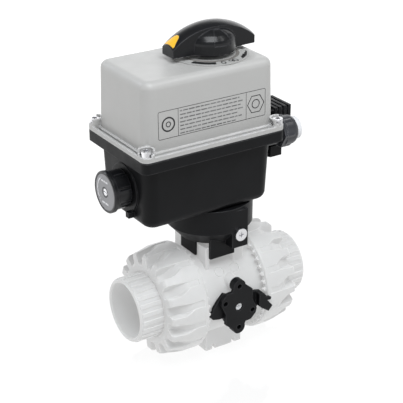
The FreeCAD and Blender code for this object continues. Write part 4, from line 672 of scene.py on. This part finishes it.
def number_strokes(digit, u, height):
    """Plain strokes for the digits 0 and 9, with the middle of their height at (u, 0)."""
    half = height * DIGIT_HALF_WIDTH
    if digit == 0:
        return [oval(u, 0.0, half, height / 2)]
    bowl_middle = height * BOWL_RISE
    tail = [(u + half, bowl_middle), (u + half * TAIL_LEAN, -height * TAIL_BEND),
            (u, -height * TAIL_END)]
    return [oval(u, bowl_middle, half, height * BOWL_HALF_HEIGHT), tail]


def scale_blocks():
    return [(arc(SCALE_R, start, start + BLOCK_SWEEP), BLOCK_LINE) for start in BLOCK_TURNS]


def scale_crescents():
    """Three arcs side by side, each shorter than the one outside it, to make a crescent."""
    lines = []
    for start in CRESCENT_TURNS:
        for place in range(CRESCENT_ARCS):
            points = arc(CRESCENT_R - CRESCENT_PITCH * place, start + CRESCENT_LATER * place,
                         start + CRESCENT_SWEEP - CRESCENT_EARLIER * place)
            lines.append((points, CRESCENT_LINE))
    return lines


def scale_ticks():
    lines = []
    for turn in TICK_TURNS:
        for place in range(TICKS):
            outer = TICK_OUTER_R - place * TICK_SHORTENS
            reach = [polar(radius, turn + TICK_PITCH * place) for radius in (TICK_INNER_R, outer)]
            lines.append((reach, TICK_LINE))
    return lines


def scale_numbers():
    """The numbers 0 and 90, upright to someone who looks from outside the dial."""
    lines = []
    for turn, digits in NUMBER_TURNS:
        out = Vector(polar(1.0, turn))
        along = Vector((-out.y, out.x))
        for place, digit in enumerate(digits):
            shift = (place - (len(digits) - 1) / 2) * NUMBER_SPACING
            for stroke in number_strokes(digit, shift, NUMBER_HEIGHT):
                spots = [out * (SCALE_R - v) + along * u for u, v in stroke]
                lines.append(([(spot.x, spot.y) for spot in spots], NUMBER_LINE))
    return lines


def dial_marks():
    """The position scale round the handle, and a painted shadow ring beside the hub."""
    lines = scale_blocks() + scale_crescents() + scale_ticks() + scale_numbers()
    printed("dial_scale", lines, on_dial, "frame", "dial_print", PRINT_INK)
    # A painted shadow: a dark ring on the dial beside the hub.
    edge = [(arc(DIAL_EDGE_R, 0, 360), DIAL_EDGE_LINE)]
    printed("dial_hub_shadow", edge, on_dial, "frame", "dial_print", DIAL_PAINTED_SHADOW, DIAL_EDGE_LIFT)


# The selector's face, in mm.
KNOB_Y, KNOB_Z, DISC_FACE = -2.0, 170.0, -102.8
TURN_R, TURN_START, TURN_END, TURN_LINE = 12.4, 118, 222, 1.1
TURN_DOT_R = 0.6
# Each row of bars: its height, where it starts, and the lengths of its bars.
WORD_ROWS = ((9.4, -6.0, (3.4, 2.2, 3.6)), (-9.8, -5.2, (4.6, 5.0)))
WORD_LINE, WORD_GAP = 1.7, 0.8
SCREW_RING_R, SCREW_RING_LINE = 4.3, 0.7


def on_disc(u, v, lift):
    return Vector((DISC_FACE - lift + INK_SINK, KNOB_Y - u, KNOB_Z + v)) * MM


def selector_marks():
    """A turning arc with end dots, and short bars where the real face has its two words."""
    lines = [(arc(TURN_R, TURN_START, TURN_END), TURN_LINE)]
    for turn in (TURN_START, TURN_END):
        lines.append((arc(TURN_DOT_R, 0, 360, polar(TURN_R, turn), 60.0), TURN_LINE))
    for v, start, words in WORD_ROWS:
        u = start
        for word in words:
            lines.append(([(u, v), (u + word, v)], WORD_LINE))
            u += word + WORD_GAP
    printed("selector_print", lines, on_disc, "selector", "disc_grey", PALE_INK)
    ring_mark = [(arc(SCREW_RING_R, 0, 360), SCREW_RING_LINE)]
    printed("selector_ring", ring_mark, on_disc, "selector", "disc_grey", PRINT_INK)


front_label()
dial_marks()
selector_marks()


# ---------------------------------------------------------------- stage, light, camera

def gradient_by_place(tree, direction, low, high, value_low, value_high):
    """A smooth change of value along a level direction, in metres of world space."""
    geometry = add(tree, "ShaderNodeNewGeometry")
    dot = add(tree, "ShaderNodeVectorMath", operation="DOT_PRODUCT")
    tree.links.new(geometry.outputs["Position"], dot.inputs[0])
    dot.inputs[1].default_value = direction
    node = add(tree, "ShaderNodeMapRange", interpolation_type="SMOOTHSTEP")
    set_inputs(node, From_Min=low, From_Max=high, To_Min=value_low, To_Max=value_high)
    tree.links.new(dot.outputs["Value"], node.inputs["Value"])
    return node.outputs["Result"]


FLOOR_SIZE = 6.0
# Brightness of the paper near the valve, far out in front of it, and far behind it.
FLOOR_WHITE, FLOOR_DIM, FLOOR_BRIGHT = 0.86, 0.5, 1.1
# The level directions in which it changes, and from how far to how far, in metres.
FORWARD, FORWARD_START, FORWARD_END = (0.1, -1.0, 0.0), 0.14, 0.6
BACKWARD, BACKWARD_START, BACKWARD_END = (-0.7, 0.7, 0.0), 0.1, 0.5
PAPER_DARK, PAPER_PALE = (0.1, 0.1, 0.1), (0.11, 0.11, 0.11)


def floor_paper():
    """White paper lit from below: brighter behind the valve, dimmer out in front of it."""
    material, tree, shader = principled("floor_paper")
    shade = mixed_colour(tree, remap(tree, noise(tree, scale=3.0), 0.0, 1.0), PAPER_DARK,
                         PAPER_PALE)
    tree.links.new(shade, shader.inputs["Base Color"])
    tree.links.new(remap(tree, noise(tree, scale=20.0), 0.05, 0.09), shader.inputs["Roughness"])
    front = gradient_by_place(tree, FORWARD, FORWARD_START, FORWARD_END, FLOOR_WHITE, FLOOR_DIM)
    back = gradient_by_place(tree, BACKWARD, BACKWARD_START, BACKWARD_END, 0.0,
                             FLOOR_BRIGHT - FLOOR_WHITE)
    total = add(tree, "ShaderNodeMath", operation="ADD")
    tree.links.new(front, total.inputs[0])
    tree.links.new(back, total.inputs[1])
    shader.inputs["Emission Color"].default_value = WHITE
    tree.links.new(total.outputs[0], shader.inputs["Emission Strength"])
    return material


def floor():
    mesh = bpy.data.meshes.new("floor")
    size = FLOOR_SIZE
    mesh.from_pydata([(-size, -size, 0), (size, -size, 0), (size, size, 0), (-size, size, 0)],
                     [], [(0, 1, 2, 3)])
    piece = bpy.data.objects.new("floor", mesh)
    bpy.context.scene.collection.objects.link(piece)
    paint(piece, floor_paper())


def softbox(name, place, target, size, radiance, colour=(1.0, 1.0, 1.0)):
    """A rectangular light of a given radiance, so its size does not change how bright it looks."""
    data = bpy.data.lights.new(name, "AREA")
    data.shape = "RECTANGLE"
    data.size, data.size_y = size
    data.energy = radiance * math.pi * size[0] * size[1]
    data.color = colour
    light = bpy.data.objects.new(name, data)
    light.location = place
    light.rotation_euler = (Vector(target) - Vector(place)).to_track_quat("-Z", "Y").to_euler()
    bpy.context.scene.collection.objects.link(light)


# The world is pale at the horizon and dimmer from a little above it, by the height of a ray.
WORLD_HORIZON, WORLD_LIGHT = 1.0, 0.22
WORLD_FADE_START, WORLD_FADE_END = 0.1, 0.45
WORLD_COLOUR = (0.97, 0.98, 1.0, 1.0)


def studio_world():
    world = bpy.data.worlds.new("studio")
    world.use_nodes = True
    tree = world.node_tree
    split = add(tree, "ShaderNodeSeparateXYZ")
    tree.links.new(add(tree, "ShaderNodeTexCoord").outputs["Generated"], split.inputs[0])
    height = add(tree, "ShaderNodeMapRange", interpolation_type="SMOOTHSTEP")
    set_inputs(height, From_Min=WORLD_FADE_START, From_Max=WORLD_FADE_END,
               To_Min=WORLD_HORIZON, To_Max=WORLD_LIGHT)
    tree.links.new(split.outputs["Z"], height.inputs["Value"])
    background = tree.nodes["Background"]
    background.inputs["Color"].default_value = WORLD_COLOUR
    tree.links.new(height.outputs["Result"], background.inputs["Strength"])
    bpy.context.scene.world = world


VALVE_MIDDLE, DRIVE_MIDDLE, DRIVE_TOP = (0.0, 0.0, 0.15), (0.0, 0.0, 0.2), (0.0, 0.0, 0.27)
COOL_WHITE, PALE_BLUE = (0.95, 0.975, 1.0), (0.9, 0.95, 1.0)


def studio_lights():
    """A large key in front, two small ones for the edges, and two weak fills behind."""
    softbox("key", (-0.2, -0.6, 1.35), VALVE_MIDDLE, (0.9, 0.9), 7.6, COOL_WHITE)
    softbox("front_edge", (0.77, -0.65, 1.4), DRIVE_TOP, (0.4, 0.4), 7.0)
    softbox("left_edge", (-0.7, 1.15, 1.02), DRIVE_TOP, (0.4, 0.4), 6.0, PALE_BLUE)
    softbox("backdrop", (1.35, 2.0, 1.25), DRIVE_MIDDLE, (3.4, 1.5), 1.1)
    softbox("side", (-1.5, 0.9, 0.5), DRIVE_MIDDLE, (1.2, 1.2), 0.5)


VIEW_AZIMUTH = -33.16
VIEW_ELEVATION = 25.34
VIEW_PLACE = (-0.5124, -0.7728, 0.5734)
VIEW_LENS, VIEW_SENSOR = 104.96, 36.0
VIEW_NEAR, VIEW_FAR = 0.05, 20.0


def camera():
    data = bpy.data.cameras.new("camera")
    data.lens = VIEW_LENS
    data.sensor_width = VIEW_SENSOR
    data.clip_start = VIEW_NEAR
    data.clip_end = VIEW_FAR
    eye = bpy.data.objects.new("camera", data)
    eye.location = VIEW_PLACE
    eye.rotation_euler = Euler((math.radians(90 - VIEW_ELEVATION), 0.0,
                                math.radians(VIEW_AZIMUTH)))
    bpy.context.scene.collection.objects.link(eye)
    bpy.context.scene.camera = eye


floor()
studio_world()
studio_lights()
camera()
bpy.context.scene.view_settings.view_transform = "Standard"
